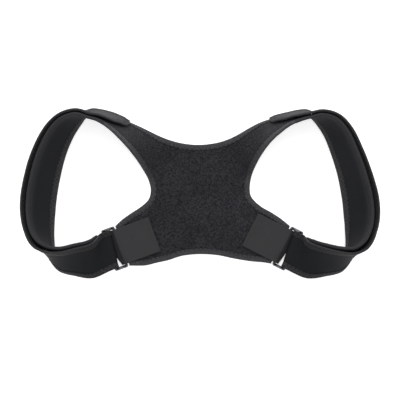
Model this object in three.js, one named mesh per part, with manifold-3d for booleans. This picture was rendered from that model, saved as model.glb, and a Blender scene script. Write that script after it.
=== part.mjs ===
import * as THREE from "three";
import Module from "manifold-3d";
import { mergeVertices } from "three/addons/utils/BufferGeometryUtils.js";

// Posture corrector laid out flat, in millimetres, +Z up.
// The back panel lies on its smooth side. Each shoulder loop stands on its outer edge,
// called the foot here, and the edge round the armhole, called the rim, is uppermost.

// Laid-out size, half of it each way from the middle of the panel
const halfSpan = 237.3;
const halfDepth = 117;

// Layers of padded cloth
const panelThickness = 3.5;
const padThickness = 4;
const strapThickness = 3;
const bandWidth = 55;
const ringEndWidth = 51;
const grooveWidth = 3;
const footLift = 2.6;

// Edge tape, folded round every long edge
const tapeWidth = 7;
const tapeWall = 0.7;
const shoulderRamp = 1.4;
const tapeEndTrim = 0.3;

// Ring of moulded plastic between the strap and the webbing
const ringBar = 3.2;
const ringThickness = 3.4;
const ringGap = 12.8;
const ringHeight = 5.6;
const ringCorner = 2.5;
const ringBevel = 0.9;
const ringSetOff = 9;

// Webbing tab, doubled round the ring and laid back on the panel
const webbingWidth = 50;
const webbingThickness = 1.6;
const tabLength = 50.2;
const tuckLength = 14;
const armSetOff = 1.8;
const armEndWidth = 56;
const armRampLength = 34;
const webbingSlack = 3;
const slackTurn = 1.4;

// Clearances
const seatGap = 0.3;
const layerGap = 0.5;
const sideClearance = 1.6;

// Middle of the panel, heights over and under the waist line as shares of halfDepth
const neckDrop = 0.564;
const waistLine = 0;
const hemDrop = -0.708;

// How much more loosely each strap goes round its ring at the rim than at the foot
const strapSlack = { left: 5.5, right: 6.2 };

// Row of the upper arm where the panel ends and the shoulder pad starts, under the tongue
const seamRow = 6.5;

// Panel's upper arms, one row a section from the armhole's inmost point to the shoulder.
// X as shares of halfSpan, Y of halfDepth, rise of the rim as a share of bandWidth.
const upperArm = {
  left: [
    { footX: 0.093, footY: 0.578, rimX: 0.282, rimY: 0.046, rise: 0 },
    { footX: 0.162, footY: 0.611, rimX: 0.296, rimY: 0.164, rise: 0.03 },
    { footX: 0.22, footY: 0.652, rimX: 0.326, rimY: 0.286, rise: 0.28 },
    { footX: 0.278, footY: 0.706, rimX: 0.362, rimY: 0.404, rise: 0.51 },
    { footX: 0.348, footY: 0.773, rimX: 0.401, rimY: 0.511, rise: 0.73 },
    { footX: 0.423, footY: 0.841, rimX: 0.453, rimY: 0.63, rise: 0.86 },
    { footX: 0.504, footY: 0.909, rimX: 0.508, rimY: 0.736, rise: 0.93 },
  ],
  right: [
    { footX: 0.093, footY: 0.586, rimX: 0.285, rimY: 0.05, rise: 0 },
    { footX: 0.162, footY: 0.627, rimX: 0.293, rimY: 0.192, rise: 0.03 },
    { footX: 0.223, footY: 0.686, rimX: 0.316, rimY: 0.325, rise: 0.28 },
    { footX: 0.283, footY: 0.755, rimX: 0.353, rimY: 0.466, rise: 0.51 },
    { footX: 0.348, footY: 0.822, rimX: 0.395, rimY: 0.583, rise: 0.73 },
    { footX: 0.416, footY: 0.867, rimX: 0.447, rimY: 0.688, rise: 0.86 },
    { footX: 0.495, footY: 0.906, rimX: 0.504, rimY: 0.775, rise: 0.93 },
  ],
};

// Panel's lower arms, from the armhole's inmost point out towards the ring.
// The last section is worked out from the ring.
const lowerArm = {
  left: [
    { footX: 0.104, footY: -0.728, rimX: 0.282, rimY: 0.046 },
    { footX: 0.186, footY: -0.78, rimX: 0.293, rimY: -0.066 },
    { footX: 0.255, footY: -0.811, rimX: 0.333, rimY: -0.152 },
    { footX: 0.313, footY: -0.839, rimX: 0.396, rimY: -0.238 },
    { footX: 0.368, footY: -0.843, rimX: 0.447, rimY: -0.312 },
  ],
  right: [
    { footX: 0.104, footY: -0.721, rimX: 0.285, rimY: 0.05 },
    { footX: 0.186, footY: -0.755, rimX: 0.294, rimY: -0.042 },
    { footX: 0.252, footY: -0.779, rimX: 0.348, rimY: -0.155 },
    { footX: 0.313, footY: -0.795, rimX: 0.411, rimY: -0.23 },
    { footX: 0.365, footY: -0.803, rimX: 0.465, rimY: -0.302 },
  ],
};

// Shoulder loops, from the shoulder round the outside to the ring.
// The foot as shares of halfSpan and halfDepth, and how far the rim leans from it
// as shares of the band's width there. The rest of the width is the rim's height.
const loopRows = {
  left: [
    { footX: 0.582, footY: 0.943, leanX: -0.03, leanY: -0.24 },
    { footX: 0.625, footY: 0.943, leanX: 0.022, leanY: -0.165 },
    { footX: 0.662, footY: 0.901, leanX: 0.162, leanY: 0.013 },
    { footX: 0.696, footY: 0.808, leanX: 0.36, leanY: 0.117 },
    { footX: 0.735, footY: 0.685, leanX: 0.463, leanY: 0.133 },
    { footX: 0.781, footY: 0.464, leanX: 0.521, leanY: 0.156 },
    { footX: 0.814, footY: 0.211, leanX: 0.588, leanY: 0.093 },
    { footX: 0.837, footY: -0.064, leanX: 0.607, leanY: 0.013 },
    { footX: 0.846, footY: -0.249, leanX: 0.564, leanY: -0.026 },
    { footX: 0.851, footY: -0.402, leanX: 0.461, leanY: -0.028 },
    { footX: 0.851, footY: -0.575, leanX: 0.3, leanY: 0.085 },
    { footX: 0.84, footY: -0.755, leanX: 0.09, leanY: 0.32 },
    { footX: 0.8, footY: -0.872, leanX: -0.035, leanY: 0.52 },
    { footX: 0.715, footY: -0.93, leanX: -0.025, leanY: 0.72 },
    { footX: 0.625, footY: -0.966, leanX: 0.06, leanY: 0.88 },
    { footX: 0.525, footY: -0.903, leanX: 0.341, leanY: 0.936 },
  ],
  right: [
    { footX: 0.579, footY: 0.935, leanX: -0.045, leanY: -0.215 },
    { footX: 0.62, footY: 0.93, leanX: 0.017, leanY: -0.136 },
    { footX: 0.655, footY: 0.879, leanX: 0.151, leanY: 0.035 },
    { footX: 0.689, footY: 0.794, leanX: 0.341, leanY: 0.127 },
    { footX: 0.726, footY: 0.67, leanX: 0.438, leanY: 0.133 },
    { footX: 0.767, footY: 0.458, leanX: 0.485, leanY: 0.141 },
    { footX: 0.805, footY: 0.205, leanX: 0.558, leanY: 0.068 },
    { footX: 0.829, footY: -0.064, leanX: 0.622, leanY: 0.013 },
    { footX: 0.839, footY: -0.249, leanX: 0.604, leanY: -0.027 },
    { footX: 0.846, footY: -0.402, leanX: 0.51, leanY: -0.028 },
    { footX: 0.851, footY: -0.58, leanX: 0.33, leanY: 0.07 },
    { footX: 0.843, footY: -0.765, leanX: 0.12, leanY: 0.31 },
    { footX: 0.805, footY: -0.879, leanX: -0.012, leanY: 0.54 },
    { footX: 0.717, footY: -0.937, leanX: 0.01, leanY: 0.735 },
    { footX: 0.62, footY: -0.97, leanX: 0.134, leanY: 0.9 },
    { footX: 0.524, footY: -0.908, leanX: 0.452, leanY: 0.888 },
  ],
};

// Tongue of the strap: where it starts and ends across the band, as shares of its width,
// from its tip to where the strap has its whole width
const tongueRows = [
  { row: 4.88, foot: 0.05, rim: 0.24 },
  { row: 4.95, foot: 0.02, rim: 0.33 },
  { row: 5.1, foot: 0, rim: 0.42 },
  { row: 5.5, foot: -0.01, rim: 0.54 },
  { row: 6, foot: -0.01, rim: 0.72 },
  { row: 7, foot: 0, rim: 0.93 },
  { row: 8, foot: 0, rim: 1 },
];

// How far the pad's rim stands over the band's, as shares of its width
const padRimRows = [
  { row: 18.5, rim: 1 },
  { row: 20, rim: 1.04 },
  { row: 21, rim: 1.06 },
  { row: 22, rim: 1 },
];

// Groove between the strap and what it lies on, as shares of grooveWidth at each edge
const grooveRows = [
  { row: 4.88, foot: 0.05, rim: 0.3 },
  { row: 5.5, foot: 0.05, rim: 0.9 },
  { row: 6.5, foot: 0.15, rim: 1 },
  { row: 8, foot: 0.5, rim: 0.6 },
  { row: 10, foot: 0.6, rim: 0.6 },
  { row: 14, foot: 0.6, rim: 1 },
  { row: 16, foot: 0.6, rim: 1 },
  { row: 17.3, foot: 1.6, rim: 1.6 },
  { row: 18.4, foot: 0.8, rim: 1.2 },
  { row: 19.4, foot: 0.6, rim: 0.8 },
  { row: 22, foot: 0.5, rim: 0.6 },
];

// Materials
const loopPile = new THREE.MeshStandardMaterial({ color: 0x1b1b1e, roughness: 0.95, metalness: 0 });
const smoothKnit = new THREE.MeshStandardMaterial({ color: 0x212124, roughness: 0.85, metalness: 0 });
const tapeKnit = new THREE.MeshStandardMaterial({ color: 0x2c2c30, roughness: 0.9, metalness: 0 });
const wovenWebbing = new THREE.MeshStandardMaterial({ color: 0x2a2a2c, roughness: 0.8, metalness: 0 });
const mouldedPlastic = new THREE.MeshStandardMaterial({ color: 0x242426, roughness: 0.4, metalness: 0 });

const up = new THREE.Vector3(0, 0, 1);
const panelMid = panelThickness / 2;
const ringPitch = ringGap + ringBar;

// Value of a table's column between two of its rows
function between(rows, row, column) {
  const next = rows.findIndex((entry) => entry.row > row);
  if (next === 0) return rows[0][column];
  if (next < 0) return rows[rows.length - 1][column];
  const low = rows[next - 1];
  const high = rows[next];
  return THREE.MathUtils.mapLinear(row, low.row, high.row, low[column], high[column]);
}

// Smooth edge through the sections, never lower than the middle of the lying panel.
// The leads come before the first section, which is row 0.
function edgeCurve(points, leads) {
  const curve = new THREE.CatmullRomCurve3([...leads, ...points], false, "centripetal");
  const last = points.length + leads.length - 1;
  return (row) => {
    const point = curve.getPoint(THREE.MathUtils.clamp((row + leads.length) / last, 0, 1));
    return point.setZ(Math.max(point.z, panelMid));
  };
}

// One section of a sheet: both edges, the face's direction at each, and how much further
// a distance square to the edge is when it is measured along the section.
function sectionAt(foot, rim, row, facing, fixedNormal) {
  const step = 0.02;
  const a = foot(row);
  const b = rim(row);
  const across = b.clone().sub(a);
  const read = (edge) => {
    const travel = edge(row + step).sub(edge(row - step));
    const normal = travel.clone().cross(across).multiplyScalar(facing);
    const slant = (travel.length() * across.length()) / normal.length();
    return { normal: fixedNormal ? fixedNormal.clone() : normal.normalize(), slant };
  };
  const atFoot = read(foot);
  const atRim = read(rim);
  return {
    row,
    foot: a,
    rim: b,
    footNormal: atFoot.normal,
    rimNormal: atRim.normal,
    footSlant: atFoot.slant,
    rimSlant: atRim.slant,
    footThin: true,
    rimThin: true,
  };
}

// Point of a section: distance from the foot edge, height over the middle of the cloth
function sectionPoint(section, distance, height) {
  const across = section.rim.clone().sub(section.foot);
  const width = across.length();
  const share = distance / width;
  const normal = section.footNormal.clone().lerp(section.rimNormal, share).normalize();
  return section.foot.clone().addScaledVector(across, share).addScaledVector(normal, height);
}

// Closed body through rings of points with as many points each.
// Both ends are capped by the same quads, whose corners follow the ring's own order.
// Each wall is split from its foot side at the inner section to its rim side at the outer,
// so that bodies laid on each other are split alike. Ranks rise from foot to rim.
function loft(rings, quads, ranks, rows) {
  const count = rings[0].length;
  const positions = rings.flat().flatMap((point) => [point.x, point.y, point.z]);
  const index = [];
  for (let i = 0; i < rings.length - 1; i += 1) {
    for (let j = 0; j < count; j += 1) {
      const next = (j + 1) % count;
      const a = i * count + j;
      const b = i * count + next;
      const alike = ranks[j] <= ranks[next] === rows[i] <= rows[i + 1];
      if (alike) index.push(a, b, b + count, a, b + count, a + count);
      else index.push(a, b, a + count, b, b + count, a + count);
    }
  }
  const end = (rings.length - 1) * count;
  for (const [a, b, c, d] of quads) {
    index.push(a, c, b, a, d, c);
    index.push(end + a, end + b, end + c, end + a, end + c, end + d);
  }
  const geometry = new THREE.BufferGeometry();
  geometry.setAttribute("position", new THREE.Float32BufferAttribute(positions, 3));
  geometry.setIndex(index);
  return facesOut(geometry);
}

// Turns every face over where the body is inside out
function facesOut(geometry) {
  const position = geometry.getAttribute("position");
  const index = geometry.getIndex().array;
  const corner = (k) => new THREE.Vector3().fromBufferAttribute(position, index[k]);
  let volume = 0;
  for (let k = 0; k < index.length; k += 3) {
    volume += corner(k).dot(corner(k + 1).cross(corner(k + 2)));
  }
  if (volume < 0) {
    for (let k = 0; k < index.length; k += 3) {
      [index[k + 1], index[k + 2]] = [index[k + 2], index[k + 1]];
    }
  }
  return geometry;
}

// Padded sheet through its sections, thinner where the tape goes round an edge
function sheetBody(sections, thickness) {
  const half = thickness / 2;
  const edgeHalf = half - tapeWall - seatGap;
  const rings = sections.map((section) => {
    const width = section.rim.distanceTo(section.foot);
    const zone = tapeWidth + seatGap;
    const footZone = Math.min(zone * section.footSlant, width * 0.25);
    const rimZone = Math.min(zone * section.rimSlant, width * 0.25);
    const ramp = Math.min(shoulderRamp, width * 0.1);
    const footHalf = section.footThin ? edgeHalf : half;
    const rimHalf = section.rimThin ? edgeHalf : half;
    const columns = [
      [0, footHalf],
      [footZone, footHalf],
      [footZone + ramp, half],
      [width / 2, half],
      [width - rimZone - ramp, half],
      [width - rimZone, rimHalf],
      [width, rimHalf],
    ];
    const top = columns.map(([distance, height]) => sectionPoint(section, distance, height));
    const bottom = columns.map(([distance, height]) => sectionPoint(section, distance, -height));
    return [...top, ...bottom.reverse()];
  });
  const last = rings[0].length - 1;
  const quads = Array.from({ length: (last - 1) / 2 }, (_, k) => [k, k + 1, last - k - 1, last - k]);
  const ranks = rings[0].map((_, k) => Math.min(k, last - k));
  return loft(rings, quads, ranks, sections.map((section) => section.row));
}

// Tape folded round one edge of a sheet, flush with the sheet's faces
function tapeBody(sections, edge, thickness) {
  const outer = thickness / 2;
  const inner = outer - tapeWall;
  const profile = [
    [-seatGap - tapeWall, outer],
    [tapeWidth - tapeEndTrim, outer],
    [tapeWidth - tapeEndTrim, inner],
    [-seatGap, inner],
    [-seatGap, -inner],
    [tapeWidth - tapeEndTrim, -inner],
    [tapeWidth - tapeEndTrim, -outer],
    [-seatGap - tapeWall, -outer],
  ];
  const rings = sections.map((section) => {
    const width = section.rim.distanceTo(section.foot);
    const slant = edge === "foot" ? section.footSlant : section.rimSlant;
    return profile.map(([inward, height]) => {
      const distance = edge === "foot" ? inward * slant : width - inward * slant;
      return sectionPoint(section, distance, height);
    });
  });
  const ranks = profile.map(([inward]) => (edge === "foot" ? inward : -inward));
  const quads = [[0, 1, 2, 3], [0, 3, 4, 7], [4, 5, 6, 7]];
  return loft(rings, quads, ranks, sections.map((section) => section.row));
}

const wasm = await Module();
wasm.setup();

// Solid for cutting and joining, from a closed body
function solid(geometry) {
  const bare = new THREE.BufferGeometry();
  bare.setAttribute("position", geometry.getAttribute("position").clone());
  bare.setIndex(geometry.getIndex());
  const merged = mergeVertices(bare, 1e-4);
  const vertProperties = new Float32Array(merged.getAttribute("position").array);
  const triVerts = new Uint32Array(merged.getIndex().array);
  return new wasm.Manifold(new wasm.Mesh({ numProp: 3, vertProperties, triVerts }));
}

// Body made of two others that share a wall
function joined(first, second) {
  const result = solid(first).add(solid(second)).getMesh();
  const geometry = new THREE.BufferGeometry();
  geometry.setAttribute("position", new THREE.BufferAttribute(result.vertProperties, 3));
  geometry.setIndex(new THREE.BufferAttribute(result.triVerts, 1));
  return geometry;
}

// Evenly spaced rows from one to another
function rowsFrom(start, end, count) {
  return Array.from({ length: count + 1 }, (_, k) => start + ((end - start) * k) / count);
}

// Place of a table's point on one side of the middle
function place(side, shareX, shareY, height) {
  return new THREE.Vector3(side.sign * shareX * halfSpan, shareY * halfDepth, height);
}

const lastRow = upperArm.left.length + loopRows.left.length - 1;
const firstLoopRow = upperArm.left.length;

// Width of the band, narrower over its last three sections down to the ring
function widthAt(row) {
  const taper = THREE.MathUtils.clamp((row - (lastRow - 3)) / 3, 0, 1);
  return THREE.MathUtils.lerp(bandWidth, ringEndWidth, taper);
}

// Foot and rim points of a side's band, from the panel's upper arm to the ring
function bandPoints(side) {
  const arm = upperArm[side.name].map((row, k) => ({
    foot: place(side, row.footX, row.footY, THREE.MathUtils.lerp(panelMid, footLift, Math.min(k / 2, 1))),
    rim: place(side, row.rimX, row.rimY, panelMid + row.rise * bandWidth),
  }));
  const loop = loopRows[side.name].map((row, k) => {
    const width = widthAt(firstLoopRow + k);
    const foot = place(side, row.footX, row.footY, footLift);
    const leanX = side.sign * row.leanX * width;
    const leanY = row.leanY * width;
    const rise = Math.sqrt(Math.max(width * width - leanX * leanX - leanY * leanY, 0));
    return { foot, rim: foot.clone().add(new THREE.Vector3(leanX, leanY, rise)) };
  });
  return [...arm, ...loop];
}

// Directions and places at the ring, from the last section of the band
function fastenerFrame(side, points) {
  const end = points[points.length - 1];
  const middle = end.foot.clone().lerp(end.rim, 0.5);
  const lengthwise = end.rim.clone().sub(end.foot).setZ(0).normalize();
  const inward = lengthwise.clone().cross(up).multiplyScalar(side.sign).negate();
  const at = (along, across, height) =>
    middle.clone().setZ(height).addScaledVector(inward, along).addScaledVector(lengthwise, across);
  const ringCentre = ringSetOff + ringPitch / 2;
  const armEnd = ringCentre + ringPitch / 2 + ringBar / 2 + armSetOff;
  return { middle, lengthwise, inward, at, ringCentre, armEnd };
}

// Height of the middle of the lower arm at a distance past its end, inward
function armHeight(past) {
  const share = THREE.MathUtils.clamp(past / armRampLength, 0, 1);
  return THREE.MathUtils.lerp(ringHeight, panelMid, share);
}

// Everything that one side's pieces are made from
function sideFrame(name, sign) {
  const side = { name, sign, facing: -sign };
  const points = bandPoints(side);
  const frame = fastenerFrame(side, points);
  const lower = lowerArm[name].map((row) => ({
    foot: place(side, row.footX, row.footY, panelMid),
    rim: place(side, row.rimX, row.rimY, panelMid),
  }));
  lower.push({
    foot: frame.at(frame.armEnd, -armEndWidth / 2, panelMid),
    rim: frame.at(frame.armEnd, armEndWidth / 2, panelMid),
  });
  for (const point of lower.flatMap((row) => [row.foot, row.rim])) {
    const along = point.clone().sub(frame.middle).dot(frame.inward);
    point.z = armHeight(along - frame.armEnd);
  }
  return { ...side, points, frame, lower };
}

const sides = [sideFrame("left", -1), sideFrame("right", 1)];
sides[0].other = sides[1];
sides[1].other = sides[0];

for (const side of sides) {
  const neckMiddle = new THREE.Vector3(0, neckDrop * halfDepth, panelMid);
  const hemMiddle = new THREE.Vector3(0, hemDrop * halfDepth, panelMid);
  side.foot = edgeCurve(side.points.map((row) => row.foot), [side.other.points[0].foot, neckMiddle]);
  side.rim = edgeCurve(side.points.map((row) => row.rim), [side.lower[1].rim]);
  side.hem = edgeCurve(side.lower.map((row) => row.foot), [side.other.lower[0].foot, hemMiddle]);
  side.lowerRim = edgeCurve(side.lower.map((row) => row.rim), [side.points[1].rim.clone().setZ(panelMid)]);
  side.waist = (row) =>
    new THREE.Vector3(0, waistLine * halfDepth, panelMid).lerp(side.points[0].rim, row + 1);
}

// Sections of a panel arm: the middle stretch up to the armhole, then the arm itself
function armSections(side, foot, rim, armRows, facing) {
  const reach = side.points[0].rim.length();
  const zone = (tapeWidth + seatGap) / reach;
  const ramp = (tapeWidth + seatGap + shoulderRamp) / reach;
  const middle = [-1, -0.5, -ramp, -zone].map((row) => {
    const section = sectionAt(foot, side.waist, row, facing, up);
    section.rimThin = row === -zone;
    return section;
  });
  const arm = armRows.map((row) => sectionAt(foot, rim, row, facing, row === 0 ? up : undefined));
  return { middle, arm, all: [...middle, ...arm] };
}

const upperRows = [0, 0.5, 1, 1.5, 2, 2.5, 3, 3.5, 4, 4.5, 5, 5.5, 6, seamRow];
const lowerRows = [0, 0.5, 1, 1.5, 2, 2.5, 3, 3.5, 4, 4.5, 5];
for (const side of sides) {
  side.upperSections = armSections(side, side.foot, side.rim, upperRows, side.facing);
  side.lowerSections = armSections(side, side.hem, side.lowerRim, lowerRows, -side.facing);
  const padRim = (row) => side.foot(row).lerp(side.rim(row), between(padRimRows, row, "rim"));
  side.padSections = rowsFrom(seamRow, lastRow, 29)
    .map((row, k, all) => (k === 0 ? row + 0.03 : k === all.length - 1 ? row - 0.05 : row))
    .map((row) => sectionAt(side.foot, padRim, row, side.facing));
}

// Whole run of sections from the left arm's end over the middle to the right arm's end
function acrossMiddle(name) {
  const [left, right] = sides.map((side) => side[name].all);
  return [...[...left].reverse(), ...right.slice(1)];
}

// Sections along an armhole: down the upper arm to the inmost point, then out along the lower
function armholeSections(side) {
  const [first, ...upper] = side.upperSections.arm;
  const [, ...lower] = side.lowerSections.arm;
  const waistMiddle = new THREE.Vector3(0, first.rim.y, first.rim.z);
  const inmost = { ...first, foot: waistMiddle, rimSlant: 1 };
  return [...upper.reverse(), inmost, ...lower];
}

// Strap's edges, laid outside the pad and clear of the surface that the loop stands on
function strapEdges(side) {
  const standOff = (padThickness + strapThickness) / 2 + seatGap;
  const lifted = (row) => {
    const section = sectionAt(side.foot, side.rim, row, side.facing);
    const width = section.rim.distanceTo(section.foot);
    const from = between(tongueRows, row, "foot") * width;
    const to = between(tongueRows, row, "rim") * width;
    const foot = sectionPoint(section, from, standOff + between(grooveRows, row, "foot") * grooveWidth);
    const rim = sectionPoint(section, to, standOff + between(grooveRows, row, "rim") * grooveWidth);
    const across = rim.clone().sub(foot).normalize();
    const slide = Math.max(footLift - foot.z, 0) / Math.max(across.z, 0.3);
    return { foot: foot.addScaledVector(across, slide), rim: rim.addScaledVector(across, slide) };
  };
  return { foot: (row) => lifted(row).foot, rim: (row) => lifted(row).rim };
}

// Sections of the strap round the ring's outer bar and back under it to the pad's end
function strapWrap(side) {
  const { frame } = side;
  const wrapRadius = ringThickness / 2 + layerGap + strapThickness / 2;
  const slack = strapSlack[side.name];
  const path = [];
  path.push({ along: ringSetOff * 0.55, height: ringHeight + wrapRadius, turn: 0 });
  for (let turn = 0; turn <= 180; turn += 30) {
    const angle = THREE.MathUtils.degToRad(turn);
    path.push({
      along: ringSetOff + Math.sin(angle) * wrapRadius,
      height: ringHeight + Math.cos(angle) * wrapRadius,
      turn: angle,
    });
  }
  path.push({ along: 1, height: ringHeight - wrapRadius, turn: Math.PI });
  return path.map(({ along, height, turn }, k) => {
    const normal = frame.inward.clone().multiplyScalar(Math.sin(turn)).addScaledVector(up, Math.cos(turn));
    return {
      row: lastRow + k,
      foot: frame.at(along, -ringEndWidth / 2, height),
      rim: frame.at(along + Math.sin(turn) * slack, ringEndWidth / 2, height),
      footNormal: normal,
      rimNormal: normal.clone(),
      footSlant: 1,
      rimSlant: 1,
      footThin: true,
      rimThin: true,
    };
  });
}

for (const side of sides) {
  const edges = strapEdges(side);
  const tip = tongueRows.slice(0, -1).map((entry) => entry.row);
  const rest = rowsFrom(tongueRows[tongueRows.length - 1].row, lastRow - 0.2, 26);
  const at = (row) => sectionAt(edges.foot, edges.rim, row, side.facing);
  side.tongueSections = tip.map(at);
  side.strapSections = rest.map(at);
  side.wrapSections = strapWrap(side);
}

// Ring: a rounded frame with one long slot
function ringBody() {
  const holeLength = webbingWidth + 2 * sideClearance;
  const rounded = (path, length, width, radius) => {
    const x = width / 2;
    const y = length / 2;
    path.moveTo(-x + radius, -y);
    path.lineTo(x - radius, -y);
    path.absarc(x - radius, -y + radius, radius, -Math.PI / 2, 0, false);
    path.lineTo(x, y - radius);
    path.absarc(x - radius, y - radius, radius, 0, Math.PI / 2, false);
    path.lineTo(-x + radius, y);
    path.absarc(-x + radius, y - radius, radius, Math.PI / 2, Math.PI, false);
    path.lineTo(-x, -y + radius);
    path.absarc(-x + radius, -y + radius, radius, Math.PI, Math.PI * 1.5, false);
    return path;
  };
  const inset = 2 * ringBevel;
  const outer = rounded(
    new THREE.Shape(),
    holeLength + 2 * ringBar - inset,
    ringPitch + ringBar - inset,
    ringCorner,
  );
  outer.holes.push(rounded(new THREE.Path(), holeLength + inset, ringGap + inset, ringBevel));
  const geometry = new THREE.ExtrudeGeometry(outer, {
    depth: ringThickness - inset,
    bevelEnabled: true,
    bevelThickness: ringBevel,
    bevelSize: ringBevel,
    bevelSegments: 1,
    curveSegments: 2,
  });
  return geometry.translate(0, 0, -(ringThickness - inset) / 2);
}

// Closed outline of a strip of even thickness along a path in the plane
function stripOutline(path, thickness) {
  const offset = (k, distance) => {
    const before = path[Math.max(k - 1, 0)];
    const after = path[Math.min(k + 1, path.length - 1)];
    const travel = after.clone().sub(before).normalize();
    return path[k].clone().add(new THREE.Vector2(-travel.y, travel.x).multiplyScalar(distance));
  };
  const left = path.map((_, k) => offset(k, thickness / 2));
  const right = path.map((_, k) => offset(k, -thickness / 2));
  return [...left, ...right.reverse()];
}

// Webbing: tucked under the arm's end, round the ring's inner bar, back over the panel.
// It goes round the bar slackly, so its lower layer reaches further than its upper one.
function webbingBody(frame) {
  const radius = ringThickness / 2 + layerGap + webbingThickness / 2;
  const barAt = ringPitch / 2;
  const armAt = frame.armEnd - frame.ringCentre;
  const clear = panelThickness / 2 + layerGap + webbingThickness / 2;
  const under = (past) => new THREE.Vector2(armAt + past, armHeight(past) - clear);
  const over = (past) => new THREE.Vector2(armAt + past, armHeight(past) + clear);
  const path = [under(tuckLength), under(0.5)];
  for (let turn = 0; turn <= 180; turn += 30) {
    const angle = THREE.MathUtils.degToRad(turn);
    const slack = webbingSlack * Math.sin(angle * slackTurn) * (1 - turn / 180);
    const along = barAt - Math.sin(angle) * radius - slack;
    path.push(new THREE.Vector2(along, ringHeight - Math.cos(angle) * radius));
  }
  const tabReach = tabLength - (armAt - barAt);
  path.push(over(1), over(armRampLength * 0.5), over(armRampLength), over(tabReach));
  const outline = new THREE.Shape(stripOutline(path, webbingThickness));
  const geometry = new THREE.ExtrudeGeometry(outline, { depth: webbingWidth, bevelEnabled: false });
  return geometry.translate(0, 0, -webbingWidth / 2);
}

const posture = new THREE.Group();

function addPiece(name, geometry, material, parent = posture) {
  const piece = new THREE.Mesh(geometry, material);
  piece.name = name;
  parent.add(piece);
  return piece;
}

const upperYoke = sheetBody(acrossMiddle("upperSections"), panelThickness);
const lowerYoke = sheetBody(acrossMiddle("lowerSections"), panelThickness);
addPiece("back_panel", joined(upperYoke, lowerYoke), loopPile);
addPiece("neckline_tape", tapeBody(acrossMiddle("upperSections"), "foot", panelThickness), tapeKnit);
addPiece("hem_tape", tapeBody(acrossMiddle("lowerSections"), "foot", panelThickness), tapeKnit);

for (const side of sides) {
  const { name, frame } = side;
  addPiece(`armhole_tape_${name}`, tapeBody(armholeSections(side), "rim", panelThickness), tapeKnit);

  addPiece(`shoulder_pad_${name}`, sheetBody(side.padSections, padThickness), smoothKnit);
  addPiece(`pad_foot_tape_${name}`, tapeBody(side.padSections, "foot", padThickness), tapeKnit);
  addPiece(`pad_rim_tape_${name}`, tapeBody(side.padSections, "rim", padThickness), tapeKnit);

  const strap = [...side.tongueSections, ...side.strapSections, ...side.wrapSections];
  addPiece(`shoulder_strap_${name}`, sheetBody(strap, strapThickness), smoothKnit);
  addPiece(`strap_foot_tape_${name}`, tapeBody(side.strapSections, "foot", strapThickness), tapeKnit);
  addPiece(`strap_rim_tape_${name}`, tapeBody(side.strapSections, "rim", strapThickness), tapeKnit);

  // The ring and the webbing share one group, turned to the strap's end
  const fastener = new THREE.Group();
  const basis = new THREE.Matrix4().makeBasis(frame.inward, up.clone().cross(frame.inward), up);
  fastener.quaternion.setFromRotationMatrix(basis);
  fastener.position.copy(frame.at(frame.ringCentre, 0, 0));
  posture.add(fastener);
  addPiece(`ring_${name}`, ringBody(), mouldedPlastic, fastener).position.z = ringHeight;
  addPiece(`webbing_${name}`, webbingBody(frame), wovenWebbing, fastener).rotation.x = Math.PI / 2;
}

// The origin is under the middle of the whole, on the surface that it lies on
posture.updateMatrixWorld(true);
const reach = new THREE.Box3().setFromObject(posture, true);
const centre = reach.getCenter(new THREE.Vector3());
posture.position.set(-centre.x, -centre.y, -reach.min.z);

export default posture;
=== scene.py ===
"""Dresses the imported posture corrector: padded cloth, taped edges, stitching, webbing and rings.

The cloth follows the same sections as the solids. Each shoulder loop stands on its outer edge,
called the foot, and the edge round the armhole, called the rim, is uppermost.
"""

import math
from collections import namedtuple

import bmesh
import bpy
from mathutils import Matrix, Vector, noise


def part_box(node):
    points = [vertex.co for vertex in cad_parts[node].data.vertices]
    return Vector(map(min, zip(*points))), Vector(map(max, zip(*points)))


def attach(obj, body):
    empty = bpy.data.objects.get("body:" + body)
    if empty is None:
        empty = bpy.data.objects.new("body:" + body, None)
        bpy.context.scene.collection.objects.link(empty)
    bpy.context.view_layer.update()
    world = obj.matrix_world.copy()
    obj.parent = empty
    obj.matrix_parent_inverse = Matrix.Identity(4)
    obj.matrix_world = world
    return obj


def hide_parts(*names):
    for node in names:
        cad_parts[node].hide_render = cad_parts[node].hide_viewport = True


bl_info = {
    "name": "Posture Corrector",
    "version": (1, 0, 0),
    "blender": (4, 5, 0),
    "location": "3D View > Sidebar > Posture Corrector",
    "description": "Makes a padded posture corrector's cloth, tapes, stitching, webbing and rings",
    "category": "Object",
}

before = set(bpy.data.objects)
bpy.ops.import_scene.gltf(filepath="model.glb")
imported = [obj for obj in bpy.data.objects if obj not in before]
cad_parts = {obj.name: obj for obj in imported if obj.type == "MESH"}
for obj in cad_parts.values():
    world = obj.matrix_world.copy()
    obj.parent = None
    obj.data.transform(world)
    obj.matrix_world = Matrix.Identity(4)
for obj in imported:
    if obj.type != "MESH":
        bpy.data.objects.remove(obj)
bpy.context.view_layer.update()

MM = 0.001
UP = Vector((0, 0, 1))

# Laid-out size that the tables' shares are taken of, half of it each way from the middle
HALF_SPAN = 237.3 * MM
HALF_DEPTH = 117 * MM
BAND_WIDTH = 55 * MM
RING_END_WIDTH = 51 * MM
FOOT_LIFT = 2.6 * MM
GROOVE_WIDTH = 3 * MM

# Fastener: the ring between the strap's end and the lower arm's end
RING_BAR = 3.2 * MM
RING_THICKNESS = 3.4 * MM
RING_GAP = 12.8 * MM
RING_HEIGHT = 5.6 * MM
RING_SET_OFF = 9 * MM
ARM_SET_OFF = 1.8 * MM
ARM_END_WIDTH = 56 * MM
ARM_RAMP_LENGTH = 34 * MM
SIDE_CLEARANCE = 1.6 * MM
LAYER_GAP = 0.5 * MM
# How much more loosely each strap goes round its ring at the rim than at the foot
STRAP_SLACK = {"left": 5.5 * MM, "right": 6.2 * MM}

NECK_DROP = 0.564
HEM_DROP = -0.708
SEAM_ROW = 6.5
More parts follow.
